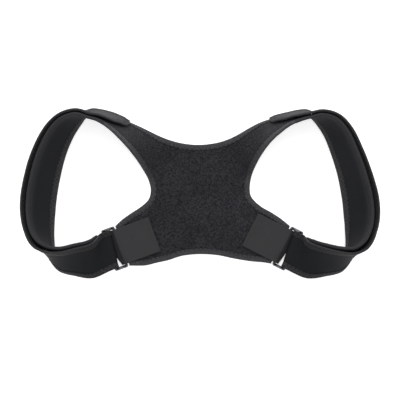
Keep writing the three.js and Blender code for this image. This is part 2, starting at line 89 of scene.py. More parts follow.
# Rows where the pads start and where the panel ends, lapped so that no slit shows
PAD_START_ROW = SEAM_ROW + 0.03
PANEL_END_ROW = SEAM_ROW + 0.06

ArmRow = namedtuple("ArmRow", "foot_x foot_y rim_x rim_y rise", defaults=(0,))
LoopRow = namedtuple("LoopRow", "foot_x foot_y lean_x lean_y")
Share = namedtuple("Share", "row foot rim")
Section = namedtuple("Section", "foot rim foot_normal rim_normal")

# Panel's upper arms, a row a section from the armhole's inmost point to the shoulder.
# X as shares of the half span, Y of the half depth, the rim's rise of the band's width.
UPPER_ARM = {
    "left": [
        ArmRow(0.093, 0.578, 0.282, 0.046, 0),
        ArmRow(0.162, 0.611, 0.296, 0.164, 0.03),
        ArmRow(0.22, 0.652, 0.326, 0.286, 0.28),
        ArmRow(0.278, 0.706, 0.362, 0.404, 0.51),
        ArmRow(0.348, 0.773, 0.401, 0.511, 0.73),
        ArmRow(0.423, 0.841, 0.453, 0.63, 0.86),
        ArmRow(0.504, 0.909, 0.508, 0.736, 0.93),
    ],
    "right": [
        ArmRow(0.093, 0.586, 0.285, 0.05, 0),
        ArmRow(0.162, 0.627, 0.293, 0.192, 0.03),
        ArmRow(0.223, 0.686, 0.316, 0.325, 0.28),
        ArmRow(0.283, 0.755, 0.353, 0.466, 0.51),
        ArmRow(0.348, 0.822, 0.395, 0.583, 0.73),
        ArmRow(0.416, 0.867, 0.447, 0.688, 0.86),
        ArmRow(0.495, 0.906, 0.504, 0.775, 0.93),
    ],
}

# Panel's lower arms, from the armhole's inmost point out towards the ring
LOWER_ARM = {
    "left": [
        ArmRow(0.104, -0.728, 0.282, 0.046),
        ArmRow(0.186, -0.78, 0.293, -0.066),
        ArmRow(0.255, -0.811, 0.333, -0.152),
        ArmRow(0.313, -0.839, 0.396, -0.238),
        ArmRow(0.368, -0.843, 0.447, -0.312),
    ],
    "right": [
        ArmRow(0.104, -0.721, 0.285, 0.05),
        ArmRow(0.186, -0.755, 0.294, -0.042),
        ArmRow(0.252, -0.779, 0.348, -0.155),
        ArmRow(0.313, -0.795, 0.411, -0.23),
        ArmRow(0.365, -0.803, 0.465, -0.302),
    ],
}

# Shoulder loops, from the shoulder round the outside to the ring: the foot as for the arms,
# and how far the rim leans from it as shares of the band's width
LOOP = {
    "left": [
        LoopRow(0.582, 0.943, -0.03, -0.24),
        LoopRow(0.625, 0.943, 0.022, -0.165),
        LoopRow(0.662, 0.901, 0.162, 0.013),
        LoopRow(0.696, 0.808, 0.36, 0.117),
        LoopRow(0.735, 0.685, 0.463, 0.133),
        LoopRow(0.781, 0.464, 0.521, 0.156),
        LoopRow(0.814, 0.211, 0.588, 0.093),
        LoopRow(0.837, -0.064, 0.607, 0.013),
        LoopRow(0.846, -0.249, 0.564, -0.026),
        LoopRow(0.851, -0.402, 0.461, -0.028),
        LoopRow(0.851, -0.575, 0.3, 0.085),
        LoopRow(0.84, -0.755, 0.09, 0.32),
        LoopRow(0.8, -0.872, -0.035, 0.52),
        LoopRow(0.715, -0.93, -0.025, 0.72),
        LoopRow(0.625, -0.966, 0.06, 0.88),
        LoopRow(0.525, -0.903, 0.341, 0.936),
    ],
    "right": [
        LoopRow(0.579, 0.935, -0.045, -0.215),
        LoopRow(0.62, 0.93, 0.017, -0.136),
        LoopRow(0.655, 0.879, 0.151, 0.035),
        LoopRow(0.689, 0.794, 0.341, 0.127),
        LoopRow(0.726, 0.67, 0.438, 0.133),
        LoopRow(0.767, 0.458, 0.485, 0.141),
        LoopRow(0.805, 0.205, 0.558, 0.068),
        LoopRow(0.829, -0.064, 0.622, 0.013),
        LoopRow(0.839, -0.249, 0.604, -0.027),
        LoopRow(0.846, -0.402, 0.51, -0.028),
        LoopRow(0.851, -0.58, 0.33, 0.07),
        LoopRow(0.843, -0.765, 0.12, 0.31),
        LoopRow(0.805, -0.879, -0.012, 0.54),
        LoopRow(0.717, -0.937, 0.01, 0.735),
        LoopRow(0.62, -0.97, 0.134, 0.9),
        LoopRow(0.524, -0.908, 0.452, 0.888),
    ],
}
LAST_ROW = len(UPPER_ARM["left"]) + len(LOOP["left"]) - 1
LAST_LOW_ROW = len(LOWER_ARM["left"])
# Rows where the pads and the straps' standing stretches end, short of the ring
PAD_END_ROW = LAST_ROW - 0.05
STRAP_END_ROW = LAST_ROW - 0.2
# Rows over which the foot comes off the lying panel, and the band narrows to the ring
LIFT_ROWS = 2
TAPER_ROWS = 3

# Tongue of the strap: where it starts and ends across the band, as shares of the band's width
TONGUE = [
    Share(4.88, 0.05, 0.24),
    Share(4.95, 0.02, 0.33),
    Share(5.1, 0, 0.42),
    Share(5.5, -0.01, 0.54),
    Share(6, -0.01, 0.72),
    Share(7, 0, 0.93),
    Share(8, 0, 1),
]

# How far the pad's rim stands over the band's, as shares of the band's width
PAD_RIM = [Share(18.5, 0, 1), Share(20, 0, 1.04), Share(21, 0, 1.06), Share(22, 0, 1)]

# Groove between the strap and what it lies on, as shares of its width at each edge
GROOVE = [
    Share(4.88, 0.05, 0.3),
    Share(5.5, 0.05, 0.9),
    Share(6.5, 0.15, 1),
    Share(8, 0.5, 0.6),
    Share(10, 0.6, 0.6),
    Share(14, 0.6, 1),
    Share(16, 0.6, 1),
    Share(17.3, 1.6, 1.6),
    Share(18.4, 0.8, 1.2),
    Share(19.4, 0.6, 0.8),
    Share(22, 0.5, 0.6),
]


def length_property(name, description, value):
    """Length setting, in metres"""
    return bpy.props.FloatProperty(
        name=name, description=description, default=value, unit="LENGTH"
    )


class ClothSizes(bpy.types.PropertyGroup):
    """Sizes of the cloth and of what is sewn to it"""

    panel_thickness: length_property(
        "Panel thickness", "Foam and both faces of the back panel", 3.5 * MM
    )
    pad_thickness: length_property(
        "Pad thickness", "Foam and both faces of each shoulder pad", 4 * MM
    )
    strap_thickness: length_property(
        "Strap thickness", "Foam and both faces of each shoulder strap", 3 * MM
    )
    tape_width: length_property(
        "Tape width", "How far the edge tape reaches in on each face", 7 * MM
    )
    tape_wall: length_property(
        "Tape wall", "Thickness of the edge tape", 0.7 * MM
    )
    stitch_pitch: length_property(
        "Stitch pitch", "Length of one zigzag along an edge", 5 * MM
    )
    thread_radius: length_property(
        "Thread radius", "Half the thickness of the sewing thread", 0.24 * MM
    )
    ripple: length_property(
        "Ripple", "How far the cloth wanders off its even surface", 0.35 * MM
    )
    webbing_width: length_property(
        "Webbing width", "Width of the tab's webbing", 50 * MM
    )
    webbing_thickness: length_property(
        "Webbing thickness", "Thickness of one layer of webbing", 1.6 * MM
    )
    tab_length: length_property(
        "Tab length", "Length of the tab from the ring's bar to its free end", 50.2 * MM
    )
    tuck_length: length_property(
        "Tuck length", "How far the webbing goes under the lower arm", 14 * MM
    )


def colour_property(name, description, value):
    """Colour setting that holds an sRGB hex value"""
    return bpy.props.StringProperty(name=name, description=description, default=value)


class ClothColours(bpy.types.PropertyGroup):
    """Colours as sRGB hex values"""

    pile: colour_property("Loop pile", "Textured face of the back panel", "#1f1f22")
    knit: colour_property("Smooth knit", "Faces of the pads and straps", "#0e1013")
    # Painted highlight: the paler knit painted on the tongues and the pads' rims, where light
    # catches them
    nap_and_highlight: colour_property(
        "Brushed knit", "Tongues and pads' rims, where the knit is rubbed", "#353538"
    )
    tape: colour_property("Edge tape", "Ribbed tape round the panel", "#313134")
    sewn: colour_property("Sewn tape", "Tape along the feet of the pads and straps", "#232326")
    dyed: colour_property(
        "Dyed tape", "Tape along the straps' rims, dyed to match the knit", "#151617"
    )
    webbing: colour_property("Webbing", "Webbing tabs", "#202022")
    thread: colour_property("Thread", "Sewing thread", "#141416")
    # Painted highlight: the rings' black plastic is given a grey base so that their bars look lit
    plastic: colour_property("Plastic", "Moulded rings", "#5a5a5e")
    floor: colour_property("Floor", "Pale surface under the part", "#fafafa")


class StageSettings(bpy.types.PropertyGroup):
    """Camera, lights and floor"""

    camera_height: length_property(
        "Camera height", "Height of the camera over the surface", 1.6
    )
    view_width: length_property(
        "View width", "Width of the surface that the camera sees", 0.552
    )
    view_offset: length_property(
        "View offset", "How far the camera is from the middle, towards the hem", 8.8 * MM
    )


def between(rows, row, column):
    """Value of a table's column between two of its rows"""
    if row <= rows[0].row:
        return getattr(rows[0], column)
    for low, high in zip(rows, rows[1:]):
        if row < high.row:
            share = (row - low.row) / (high.row - low.row)
            return getattr(low, column) * (1 - share) + getattr(high, column) * share
    return getattr(rows[-1], column)


def mixed(a, b, share):
    """Number between two others"""
    return a + (b - a) * share


def held(value, low, high):
    """Value kept within two limits"""
    return max(low, min(high, value))


class EdgeCurve:
    """Smooth edge through chosen points, never lower than the middle of the lying panel"""

    def __init__(self, points, leads, floor):
        self.points = [*leads, *points]
        self.leads = len(leads)
        self.floor = floor

    def __call__(self, row):
        last = len(self.points) - 1
        place = held(row + self.leads, 0, last)
        k = min(int(place), last - 1)
        p1, p2 = self.points[k], self.points[k + 1]
        p0 = self.points[k - 1] if k > 0 else p1 * 2 - p2
        p3 = self.points[k + 2] if k + 2 <= last else p2 * 2 - p1
        d0, d1, d2 = (math.sqrt((b - a).length) for a, b in ((p0, p1), (p1, p2), (p2, p3)))
        start = (p1 - p0) / d0 - (p2 - p0) / (d0 + d1) + (p2 - p1) / d1
        end = (p2 - p1) / d1 - (p3 - p1) / (d1 + d2) + (p3 - p2) / d2
        point = hermite(p1, p2, start * d1, end * d1, place - k)
        return Vector((point.x, point.y, max(point.z, self.floor)))


def hermite(a, b, leaving, arriving, t):
    """Point between two others, given the directions at each"""
    square, cube = t * t, t * t * t
    return (
        a * (2 * cube - 3 * square + 1)
        + leaving * (cube - 2 * square + t)
        + b * (3 * square - 2 * cube)
        + arriving * (cube - square)
    )


# Part of a row that an edge's direction is read over
ROW_STEP = 0.02


def section_at(foot, rim, row, facing, fixed=None):
    """Section of a sheet at a row: its edges, and the way that its face looks at each"""
    a, b = foot(row), rim(row)
    across = b - a

    def normal_at(edge):
        travel = edge(row + ROW_STEP) - edge(row - ROW_STEP)
        return fixed or (travel.cross(across) * facing).normalized()

    return Section(a, b, normal_at(foot), normal_at(rim))


def section_point(section, distance, height):
    """Point of a section: distance in from the foot edge, height over the cloth's middle"""
    across = section.rim - section.foot
    share = distance / across.length
    normal = section.foot_normal.lerp(section.rim_normal, share).normalized()
    return section.foot + across * share + normal * height


# Gap between the pad and the strap, and the least slope that slides the strap off the floor
STRAP_GAP = 0.3 * MM
LEAST_SLOPE = 0.3
# Lengths of the strap just before and just after its turn round the ring's outer bar
TURN_LEAD = RING_SET_OFF * 0.45
TURN_TAIL = RING_SET_OFF - 1 * MM


class Side:
    """One side of the part: its edges, and where its ring is"""

    def __init__(self, name, sign, sizes):
        self.name = name
        self.sign = sign
        self.facing = -sign
        self.middle = sizes.panel_thickness / 2
        self.sizes = sizes
        self.points = self.band_points()
        self.set_ring()
        self.lower = self.lower_points()

    def place(self, share_x, share_y, height):
        """Place of a table's point on this side"""
        return Vector((self.sign * share_x * HALF_SPAN, share_y * HALF_DEPTH, height))

    def band_points(self):
        """Foot and rim of the band from the panel's upper arm to the ring"""
        found = []
        for k, row in enumerate(UPPER_ARM[self.name]):
            height = mixed(self.middle, FOOT_LIFT, min(k / LIFT_ROWS, 1))
            foot = self.place(row.foot_x, row.foot_y, height)
            rim = self.place(row.rim_x, row.rim_y, self.middle + row.rise * BAND_WIDTH)
            found.append((foot, rim))
        for k, row in enumerate(LOOP[self.name]):
            past = len(UPPER_ARM[self.name]) + k - (LAST_ROW - TAPER_ROWS)
            taper = held(past / TAPER_ROWS, 0, 1)
            width = mixed(BAND_WIDTH, RING_END_WIDTH, taper)
            foot = self.place(row.foot_x, row.foot_y, FOOT_LIFT)
            lean = Vector((self.sign * row.lean_x * width, row.lean_y * width, 0))
            lean.z = math.sqrt(max(width * width - lean.length_squared, 0))
            found.append((foot, foot + lean))
        return found

    def set_ring(self):
        """Directions at the ring, from the band's last section"""
        foot, rim = self.points[-1]
        self.end = (foot + rim) / 2
        self.lengthwise = Vector((rim.x - foot.x, rim.y - foot.y, 0)).normalized()
        self.inward = self.lengthwise.cross(UP) * -self.sign
        self.ring_centre = RING_SET_OFF + (RING_GAP + RING_BAR) / 2
        self.arm_end = RING_SET_OFF + RING_GAP + RING_BAR * 1.5 + ARM_SET_OFF

    def at(self, along, across, height):
        """Point by its distance past the band's end, along the ring's bars and its height"""
        level = Vector((self.end.x, self.end.y, height))
        return level + self.inward * along + self.lengthwise * across

    def arm_height(self, past):
        """Height of the middle of the lower arm at a distance past its end"""
        return mixed(RING_HEIGHT, self.middle, held(past / ARM_RAMP_LENGTH, 0, 1))

    def lower_points(self):
        """Hem and armhole edge of the lower arm, raised towards the ring"""
        found = []
        for row in LOWER_ARM[self.name]:
            foot = self.place(row.foot_x, row.foot_y, self.middle)
            found.append((foot, self.place(row.rim_x, row.rim_y, self.middle)))
        half = ARM_END_WIDTH / 2
        found.append((self.at(self.arm_end, -half, 0), self.at(self.arm_end, half, 0)))
        for point in (point for pair in found for point in pair):
            past = (point - self.end).dot(self.inward) - self.arm_end
            point.z = self.arm_height(past)
        return found

    def set_edges(self, other):
        """Smooth edges, carried over the middle into the other side"""
        neck = Vector((0, NECK_DROP * HALF_DEPTH, self.middle))
        hem = Vector((0, HEM_DROP * HALF_DEPTH, self.middle))
        first_rim = self.points[1][1].copy()
        first_rim.z = self.middle

        def curve(pairs, k, leads):
            return EdgeCurve([pair[k] for pair in pairs], leads, self.middle)

        self.foot = curve(self.points, 0, [other.points[0][0], neck])
        self.rim = curve(self.points, 1, [self.lower[1][1]])
        self.hem = curve(self.lower, 0, [other.lower[0][0], hem])
        self.lower_rim = curve(self.lower, 1, [first_rim])

    def waist(self, row):
        """Line across the middle of the panel, to the armhole's inmost point"""
        middle = Vector((0, 0, self.middle))
        return middle.lerp(self.points[0][1], held(row + 1, 0, 1))

    def band(self, row):
        """Section of the upper arm, pad and loop"""
        return section_at(self.foot, self.rim, row, self.facing)

    def pad(self, row):
        """Section of the pad, whose rim stands over the band's near the ring"""

        def rim(r):
            return self.foot(r).lerp(self.rim(r), between(PAD_RIM, r, "rim"))

        return section_at(self.foot, rim, row, self.facing)

    def upper(self, row):
        """Section of the panel above the waist line, and of its upper arm"""
        if row < 0:
            return section_at(self.foot, self.waist, row, self.facing, UP)
        return section_at(self.foot, self.rim, row, self.facing, UP if row == 0 else None)

    def lower_half(self, row):
        """Section of the panel under the waist line, and of its lower arm"""
        if row < 0:
            return section_at(self.hem, self.waist, row, -self.facing, UP)
        fixed = UP if row == 0 else None
        return section_at(self.hem, self.lower_rim, row, -self.facing, fixed)

    def strap_edge(self, row, column):
        """Edge of the strap, laid outside the pad and clear of the floor"""
        section = self.band(row)
        width = (section.rim - section.foot).length
        stand_off = (self.sizes.pad_thickness + self.sizes.strap_thickness) / 2 + STRAP_GAP

        def lifted(side):
            height = stand_off + between(GROOVE, row, side) * GROOVE_WIDTH
            return section_point(section, between(TONGUE, row, side) * width, height)

        foot, rim = lifted("foot"), lifted("rim")
        across = (rim - foot).normalized()
        slide = max(FOOT_LIFT - foot.z, 0) / max(across.z, LEAST_SLOPE)
        return (foot if column == "foot" else rim) + across * slide

    def strap(self, row):
        """Section of the strap over the band"""
        return section_at(
            lambda r: self.strap_edge(r, "foot"),
            lambda r: self.strap_edge(r, "rim"),
            row,
            self.facing,
        )

    def strap_turn(self, share):
        """Section of the strap where it goes round the ring's outer bar, from 0 to 1"""
        radius = RING_THICKNESS / 2 + LAYER_GAP + self.sizes.strap_thickness / 2
        arc = math.pi * radius
        way = share * (TURN_LEAD + arc + TURN_TAIL)
        angle = held((way - TURN_LEAD) / radius, 0, math.pi)
        along = RING_SET_OFF + math.sin(angle) * radius
        if way < TURN_LEAD:
            along = RING_SET_OFF - TURN_LEAD + way
        if way > TURN_LEAD + arc:
            along = RING_SET_OFF - (way - TURN_LEAD - arc)
        height = RING_HEIGHT + math.cos(angle) * radius
        normal = self.inward * math.sin(angle) + UP * math.cos(angle)
        half = RING_END_WIDTH / 2
        slack = math.sin(angle) * STRAP_SLACK[self.name]
        foot, rim = self.at(along, -half, height), self.at(along + slack, half, height)
        return Section(foot, rim, normal, normal)


def smooth(share):
    """Share kept between 0 and 1, eased at both ends"""
    share = held(share, 0, 1)
    return share * share * (3 - 2 * share)


def steps(start, end, count):
    """Evenly spaced numbers from one to another, both included"""
    return [mixed(start, end, k / count) for k in range(count + 1)]


def make_sides(sizes):
    """Both sides, with edges that run on into each other"""
    left, right = Side("left", -1, sizes), Side("right", 1, sizes)
    left.set_edges(right)
    right.set_edges(left)
    return left, right


def table_shift(side):
    """Way from the tables' middle to the frame's origin, read off where the ring lies"""
    low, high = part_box(f"ring_{side.name}")
    centre = side.at(side.ring_centre, 0, 0)
    return Vector(((low.x + high.x) / 2 - centre.x, (low.y + high.y) / 2 - centre.y, 0))


# The ripple's coarse and fine waves to the metre, and where the fine ones start
COARSE_WAVES = 22
FINE_WAVES = 60
FINE_START = Vector((3, 1, 7))


def rippled(point, normal, amount):
    """Point moved off an even surface by a slow, small wander of the cloth"""
    wander = noise.noise(point * COARSE_WAVES)
    wander += 0.5 * noise.noise(point * FINE_WAVES + FINE_START)
    return point + normal * wander * amount


def grid_mesh(stations, columns, place, across):
    """Grid with a row of quads for each station and column, moved to where place says.

    Its UV map holds real metres: along the stations' middle, and across as given.
    """
    bm = bmesh.new()
    uv = bm.loops.layers.uv.new("cloth")
    along_count, across_count = len(stations) - 1, len(columns) - 1
    bmesh.ops.create_grid(bm, x_segments=along_count, y_segments=across_count, size=1)
    spots = {}
    for vert in bm.verts:
        i = round((vert.co.x + 1) / 2 * along_count)
        j = round((vert.co.y + 1) / 2 * across_count)
        spots[vert] = (i, j)
        vert.co = place(stations[i], columns[j])
    middles = [place(station, columns[across_count // 2]) for station in stations]
    travelled = [0]
    for a, b in zip(middles, middles[1:]):
        travelled.append(travelled[-1] + (b - a).length)
    for face in bm.faces:
        face.smooth = True
        for loop in face.loops:
            i, j = spots[loop.vert]
            loop[uv].uv = (travelled[i], across[j])
    bm.normal_update()
    return bm


def finished(name, bm, material, slot, *nodes):
    """Object from a bmesh, riding on the part and standing for CAD nodes"""
    mesh = bpy.data.meshes.new(name)
    bm.to_mesh(mesh)
    bm.free()
    piece = bpy.data.objects.new(name, mesh)
    bpy.context.scene.collection.objects.link(piece)
    mesh.materials.append(material)
    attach(piece, "root")
    if nodes:
        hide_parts(*nodes)
    return piece


def face_towards(bm, outward):
    """Turns a sheet's faces over if most of them look away from where outward says"""
    total = sum(face.normal.dot(outward(face.calc_center_median())) for face in bm.faces)
    if total < 0:
        bmesh.ops.reverse_faces(bm, faces=bm.faces)


def thicken(piece, thickness, offset, group=""):
    """Wall of a sheet, given by its Solidify modifier"""
    wall = piece.modifiers.new("wall", "SOLIDIFY")
    wall.thickness = thickness
    wall.offset = offset
    wall.use_even_offset = False
    wall.use_rim = True
    wall.vertex_group = group


def linear(hex_value):
    """Linear colour of an sRGB hex value"""
    channels = [int(hex_value[k : k + 2], 16) / 255 for k in (1, 3, 5)]
    curved = [c / 12.92 if c <= 0.04045 else ((c + 0.055) / 1.055) ** 2.4 for c in channels]
    return (*curved, 1)


def add_node(tree, kind, inputs=None, **settings):
    """Node with its settings, its inputs set to values or linked to other nodes' outputs"""
    made = tree.nodes.new(kind)
    for name, value in settings.items():
        setattr(made, name, value)
    for key, value in (inputs or {}).items():
        if isinstance(value, bpy.types.NodeSocket):
            tree.links.new(value, made.inputs[key])
        else:
            made.inputs[key].default_value = value
    return made


def new_material(name):
    """Material with an empty node tree"""
    material = bpy.data.materials.new(name)
    material.use_nodes = True
    material.node_tree.nodes.clear()
    return material, material.node_tree


def surface(tree, colour, height, strength, depth, **sockets):
    """Ends a material: a pattern's relief, and the shader with values on its own sockets"""
    bump = add_node(
        tree, "ShaderNodeBump", {"Height": height, "Strength": strength, "Distance": depth}
    )
    inputs = {"Base Color": colour, "Normal": bump.outputs[0]}
    for name, value in sockets.items():
        inputs[name.replace("_", " ").title().replace("Ior", "IOR")] = value
    shader = add_node(tree, "ShaderNodeBsdfPrincipled", inputs)
    add_node(tree, "ShaderNodeOutputMaterial", {"Surface": shader.outputs[0]})


def band_scale(period):
    """Scale of a Wave texture whose bands are as far apart as a real distance in metres"""
    return math.tau / 20 / period


def scaled(colour, share):
    """Colour made lighter or darker"""
    return (*(min(channel * share, 1) for channel in colour[:3]), 1)


def pile_material(colours):
    """Brushed loop knit: a felted pile of fine loops, matte, with clumps and paler lint"""
    material, tree = new_material("brushed_loop_knit")
    base = linear(colours.pile)
    place = add_node(tree, "ShaderNodeTexCoord").outputs["Object"]
    # Loops are about 0.6 mm across in the real cloth and drawn 1.1 mm, so that they show
    loops = add_node(
        tree, "ShaderNodeTexVoronoi",
        {"Vector": place, "Scale": 1 / (1.1 * MM), "Randomness": 1.0},
    )
    clumps = add_node(
        tree, "ShaderNodeTexNoise",
        {"Vector": place, "Scale": 1 / (2.2 * MM), "Detail": 3.0, "Roughness": 0.7},
    )
    wear = add_node(
        tree, "ShaderNodeTexNoise",
        {"Vector": place, "Scale": 1 / (40 * MM), "Detail": 2.0, "Roughness": 0.5},
    )
    nap_and_highlight = add_node(
        tree, "ShaderNodeMath",
        {0: loops.outputs["Distance"], 1: clumps.outputs["Fac"]}, operation="MULTIPLY",
    )
    spread = add_node(
        tree, "ShaderNodeMapRange",
        {"Value": clumps.outputs["Fac"], "From Min": 0.36, "From Max": 0.66},
    )
    tone = add_node(
        tree, "ShaderNodeMix",
        {0: spread.outputs[0], 6: scaled(base, 0.3), 7: scaled(base, 2.0)}, data_type="RGBA",
    ).outputs[2]
    wear_and_highlight = add_node(
        tree, "ShaderNodeMapRange",
        {"Value": wear.outputs["Fac"], "From Min": 0.35, "From Max": 0.7,
         "To Min": 0.85, "To Max": 1.15},
    )
    final = add_node(
        tree, "ShaderNodeVectorMath", {0: tone, "Scale": wear_and_highlight.outputs[0]}, operation="SCALE"
    )
    surface(
        tree, final.outputs[0], nap_and_highlight.outputs[0], 0.9, 0.9 * MM,
        roughness=0.95, specular_ior_level=0.2,
        sheen_weight=0.15, sheen_roughness=0.45, sheen_tint=linear("#8a8a92"),
    )
    return material


def knit_material(colours):
    """Smooth warp knit laminated to foam: dull fine wales, with a painted highlight where the
    attribute brushed is
    """
    # The knit's own colour, and the paler colour of its painted highlight
    base, wear_and_highlight = linear(colours.knit), linear(colours.nap_and_highlight)
    material, tree = new_material("smooth_warp_knit")
    cloth = add_node(tree, "ShaderNodeUVMap", uv_map="cloth").outputs[0]
    place = add_node(tree, "ShaderNodeTexCoord").outputs["Object"]
    # Wales are 0.5 mm apart in the real cloth and drawn 0.9 mm, so that they show
    wales = add_node(
        tree, "ShaderNodeTexWave",
        {"Vector": cloth, "Scale": band_scale(0.9 * MM), "Distortion": 0.6, "Detail": 1.0},
        bands_direction="Y",
    )
    courses = add_node(
        tree, "ShaderNodeTexWave",
        {"Vector": cloth, "Scale": band_scale(1.1 * MM), "Distortion": 0.8, "Detail": 1.0},
        bands_direction="X",
    )
    knit = add_node(
        tree, "ShaderNodeMath",
        {0: wales.outputs["Fac"], 1: courses.outputs["Fac"]}, operation="ADD",
    )
    lint = add_node(
        tree, "ShaderNodeTexNoise",
        {"Vector": place, "Scale": 1 / (2 * MM), "Detail": 4.0, "Roughness": 0.6},
    )
    tone = add_node(
        tree, "ShaderNodeMix",
        {0: lint.outputs["Fac"], 6: scaled(base, 0.6), 7: scaled(base, 1.4)}, data_type="RGBA",
    ).outputs[2]
    # Painted highlight: a paler copy of the knit, mixed in where the mesh's attribute says
    brushed = add_node(tree, "ShaderNodeAttribute", attribute_name="brushed").outputs["Fac"]
    nap_and_highlight = add_node(
        tree, "ShaderNodeMix",
        {0: lint.outputs["Fac"], 6: scaled(wear_and_highlight, 0.5), 7: scaled(wear_and_highlight, 1.5)}, data_type="RGBA",
    ).outputs[2]
    final = add_node(
        tree, "ShaderNodeMix",
        {0: brushed, 6: tone, 7: nap_and_highlight}, data_type="RGBA",
    ).outputs[2]
    surface(
        tree, final, knit.outputs[0], 0.35, 0.12 * MM,
        roughness=0.8, specular_ior_level=0.18,
        sheen_weight=0.05, sheen_roughness=0.4, sheen_tint=linear("#8c8c92"),
    )
    return material


def needle_holes(tree, cloth, pitch, shift, row, radius):
    """Mask of a row of needle holes along a tape, at a distance in from its inner edge"""
    split = add_node(tree, "ShaderNodeSeparateXYZ", {0: cloth})
    turns = add_node(
        tree, "ShaderNodeMath", {0: split.outputs["X"], 1: 1 / pitch, 2: shift},
        operation="MULTIPLY_ADD",
    )
    part = add_node(tree, "ShaderNodeMath", {0: turns.outputs[0]}, operation="FRACT")
    along = add_node(
        tree, "ShaderNodeMath", {0: part.outputs[0], 1: pitch, 2: -pitch / 2},
        operation="MULTIPLY_ADD",
    )
    across = add_node(
        tree, "ShaderNodeMath", {0: split.outputs["Y"], 1: row}, operation="SUBTRACT"
    )
    offset = add_node(tree, "ShaderNodeCombineXYZ", {0: along.outputs[0], 1: across.outputs[0]})
    reach = add_node(tree, "ShaderNodeVectorMath", {0: offset.outputs[0]}, operation="LENGTH")
    mask = add_node(
        tree, "ShaderNodeMapRange",
        {"Value": reach.outputs["Value"], "From Min": radius, "From Max": radius * 0.7},
    )
    return mask.outputs[0]


def tape_material(colours):
    """Ribbed elastic tape of the panel: fine ribs across it, faint needle holes in painted shade by
    its inner edge
    """
    return taped("ribbed_elastic_tape", linear(colours.tape), 0.35, (0.6 * MM,))


def sewn_material(colours):
    """Ribbed elastic tape of the loops: darker, with two rows of deep needle holes in painted shade
    """
    return taped("sewn_elastic_tape", linear(colours.sewn), 0.02, (1.5 * MM, 6 * MM))


def dyed_material(colours):
    """Elastic tape dyed to match the straps' knit, so that only its needle holes, in painted shade,
    tell
    """
    return taped("dyed_elastic_tape", linear(colours.dyed), 0.02, (1 * MM, 5.2 * MM))


def taped(name, base, hole_shade, rows):
    """Elastic tape of a colour, with rows of needle holes in painted shade at distances from its
    inner edge
    """
    material, tree = new_material(name)
    cloth = add_node(tree, "ShaderNodeUVMap", uv_map="cloth").outputs[0]
    place = add_node(tree, "ShaderNodeTexCoord").outputs["Object"]
    ribs = add_node(
        tree, "ShaderNodeTexWave",
        {"Vector": cloth, "Scale": band_scale(1.5 * MM), "Distortion": 0.5, "Detail": 1.0},
        bands_direction="X",
    )
    fuzz = add_node(
        tree, "ShaderNodeTexNoise",
        {"Vector": place, "Scale": 1 / (1.8 * MM), "Detail": 3.0, "Roughness": 0.6},
    )
    height = add_node(
        tree, "ShaderNodeMath",
        {0: ribs.outputs["Fac"], 1: fuzz.outputs["Fac"]}, operation="ADD",
    )
    spread = add_node(
        tree, "ShaderNodeMapRange",
        {"Value": fuzz.outputs["Fac"], "From Min": 0.35, "From Max": 0.65},
    )
    cloth_tone = add_node(
        tree, "ShaderNodeMix",
        {0: spread.outputs[0], 6: scaled(base, 0.5), 7: scaled(base, 1.5)}, data_type="RGBA",
    ).outputs[2]
    # Painted highlight: a paler copy of the tape, mixed in where the mesh's attribute says
    brushed = add_node(tree, "ShaderNodeAttribute", attribute_name="brushed").outputs["Fac"]
    tone = add_node(
        tree, "ShaderNodeMix",
        {0: brushed, 6: cloth_tone, 7: scaled(base, 2.4)}, data_type="RGBA",
    ).outputs[2]
    # Needle holes are painted shade in dimples that are 1 mm across in the real tape and drawn 3.2
    # mm, so that they show
    pitch, radius = 6 * MM, 1.6 * MM
    holes = needle_holes(tree, cloth, pitch, 0.28, rows[0], radius)
    for row in rows[1:]:
        other = needle_holes(tree, cloth, pitch, 0.78, row, radius)
        both = add_node(tree, "ShaderNodeMath", {0: holes, 1: other}, operation="MAXIMUM")
        holes = both.outputs[0]
    # Painted shade: the needle holes darkened to a share of the tape's colour
    hole_shaded = add_node(
        tree, "ShaderNodeMix",
        {0: holes, 6: tone, 7: scaled(base, hole_shade)}, data_type="RGBA",
    ).outputs[2]
    surface(
        tree, hole_shaded, height.outputs[0], 0.8, 0.4 * MM,
        roughness=0.75, specular_ior_level=0.3,
        sheen_weight=0.12, sheen_roughness=0.4, sheen_tint=linear("#9a9aa0"),
    )
    return material


def webbing_material(colours):
    """Close woven webbing: flat, satin and even, darker with painted shade where the mesh's
    attribute says
    """
    material, tree = new_material("woven_webbing")
    base = linear(colours.webbing)
    cloth = add_node(tree, "ShaderNodeUVMap", uv_map="cloth").outputs[0]
    place = add_node(tree, "ShaderNodeTexCoord").outputs["Object"]
    warp = add_node(
        tree, "ShaderNodeTexWave",
        {"Vector": cloth, "Scale": band_scale(1.6 * MM), "Distortion": 0.3},
        bands_direction="Y",
    )
    weft = add_node(
        tree, "ShaderNodeTexWave",
        {"Vector": cloth, "Scale": band_scale(0.8 * MM), "Distortion": 0.3},
        bands_direction="X",
    )
    weave = add_node(
        tree, "ShaderNodeMath",
        {0: warp.outputs["Fac"], 1: weft.outputs["Fac"]}, operation="MULTIPLY",
    )
    haze = add_node(
        tree, "ShaderNodeTexNoise",
        {"Vector": place, "Scale": 1 / (9 * MM), "Detail": 3.0, "Roughness": 0.5},
    )
    tone = add_node(
        tree, "ShaderNodeMix",
        {0: haze.outputs["Fac"], 6: scaled(base, 0.85), 7: scaled(base, 1.15)}, data_type="RGBA",
    ).outputs[2]
    # Painted shade: a darker copy of the webbing at the bend by the ring and on its underside
    creased = add_node(tree, "ShaderNodeAttribute", attribute_name="creased").outputs["Fac"]
    final = add_node(
        tree, "ShaderNodeMix",
        {0: creased, 6: tone, 7: scaled(base, 0.3)}, data_type="RGBA",
    ).outputs[2]
    surface(
        tree, final, weave.outputs[0], 0.3, 0.15 * MM,
        roughness=0.7, specular_ior_level=0.35,
        sheen_weight=0.08, sheen_roughness=0.35, sheen_tint=linear("#a0a0a4"),
    )
    return material


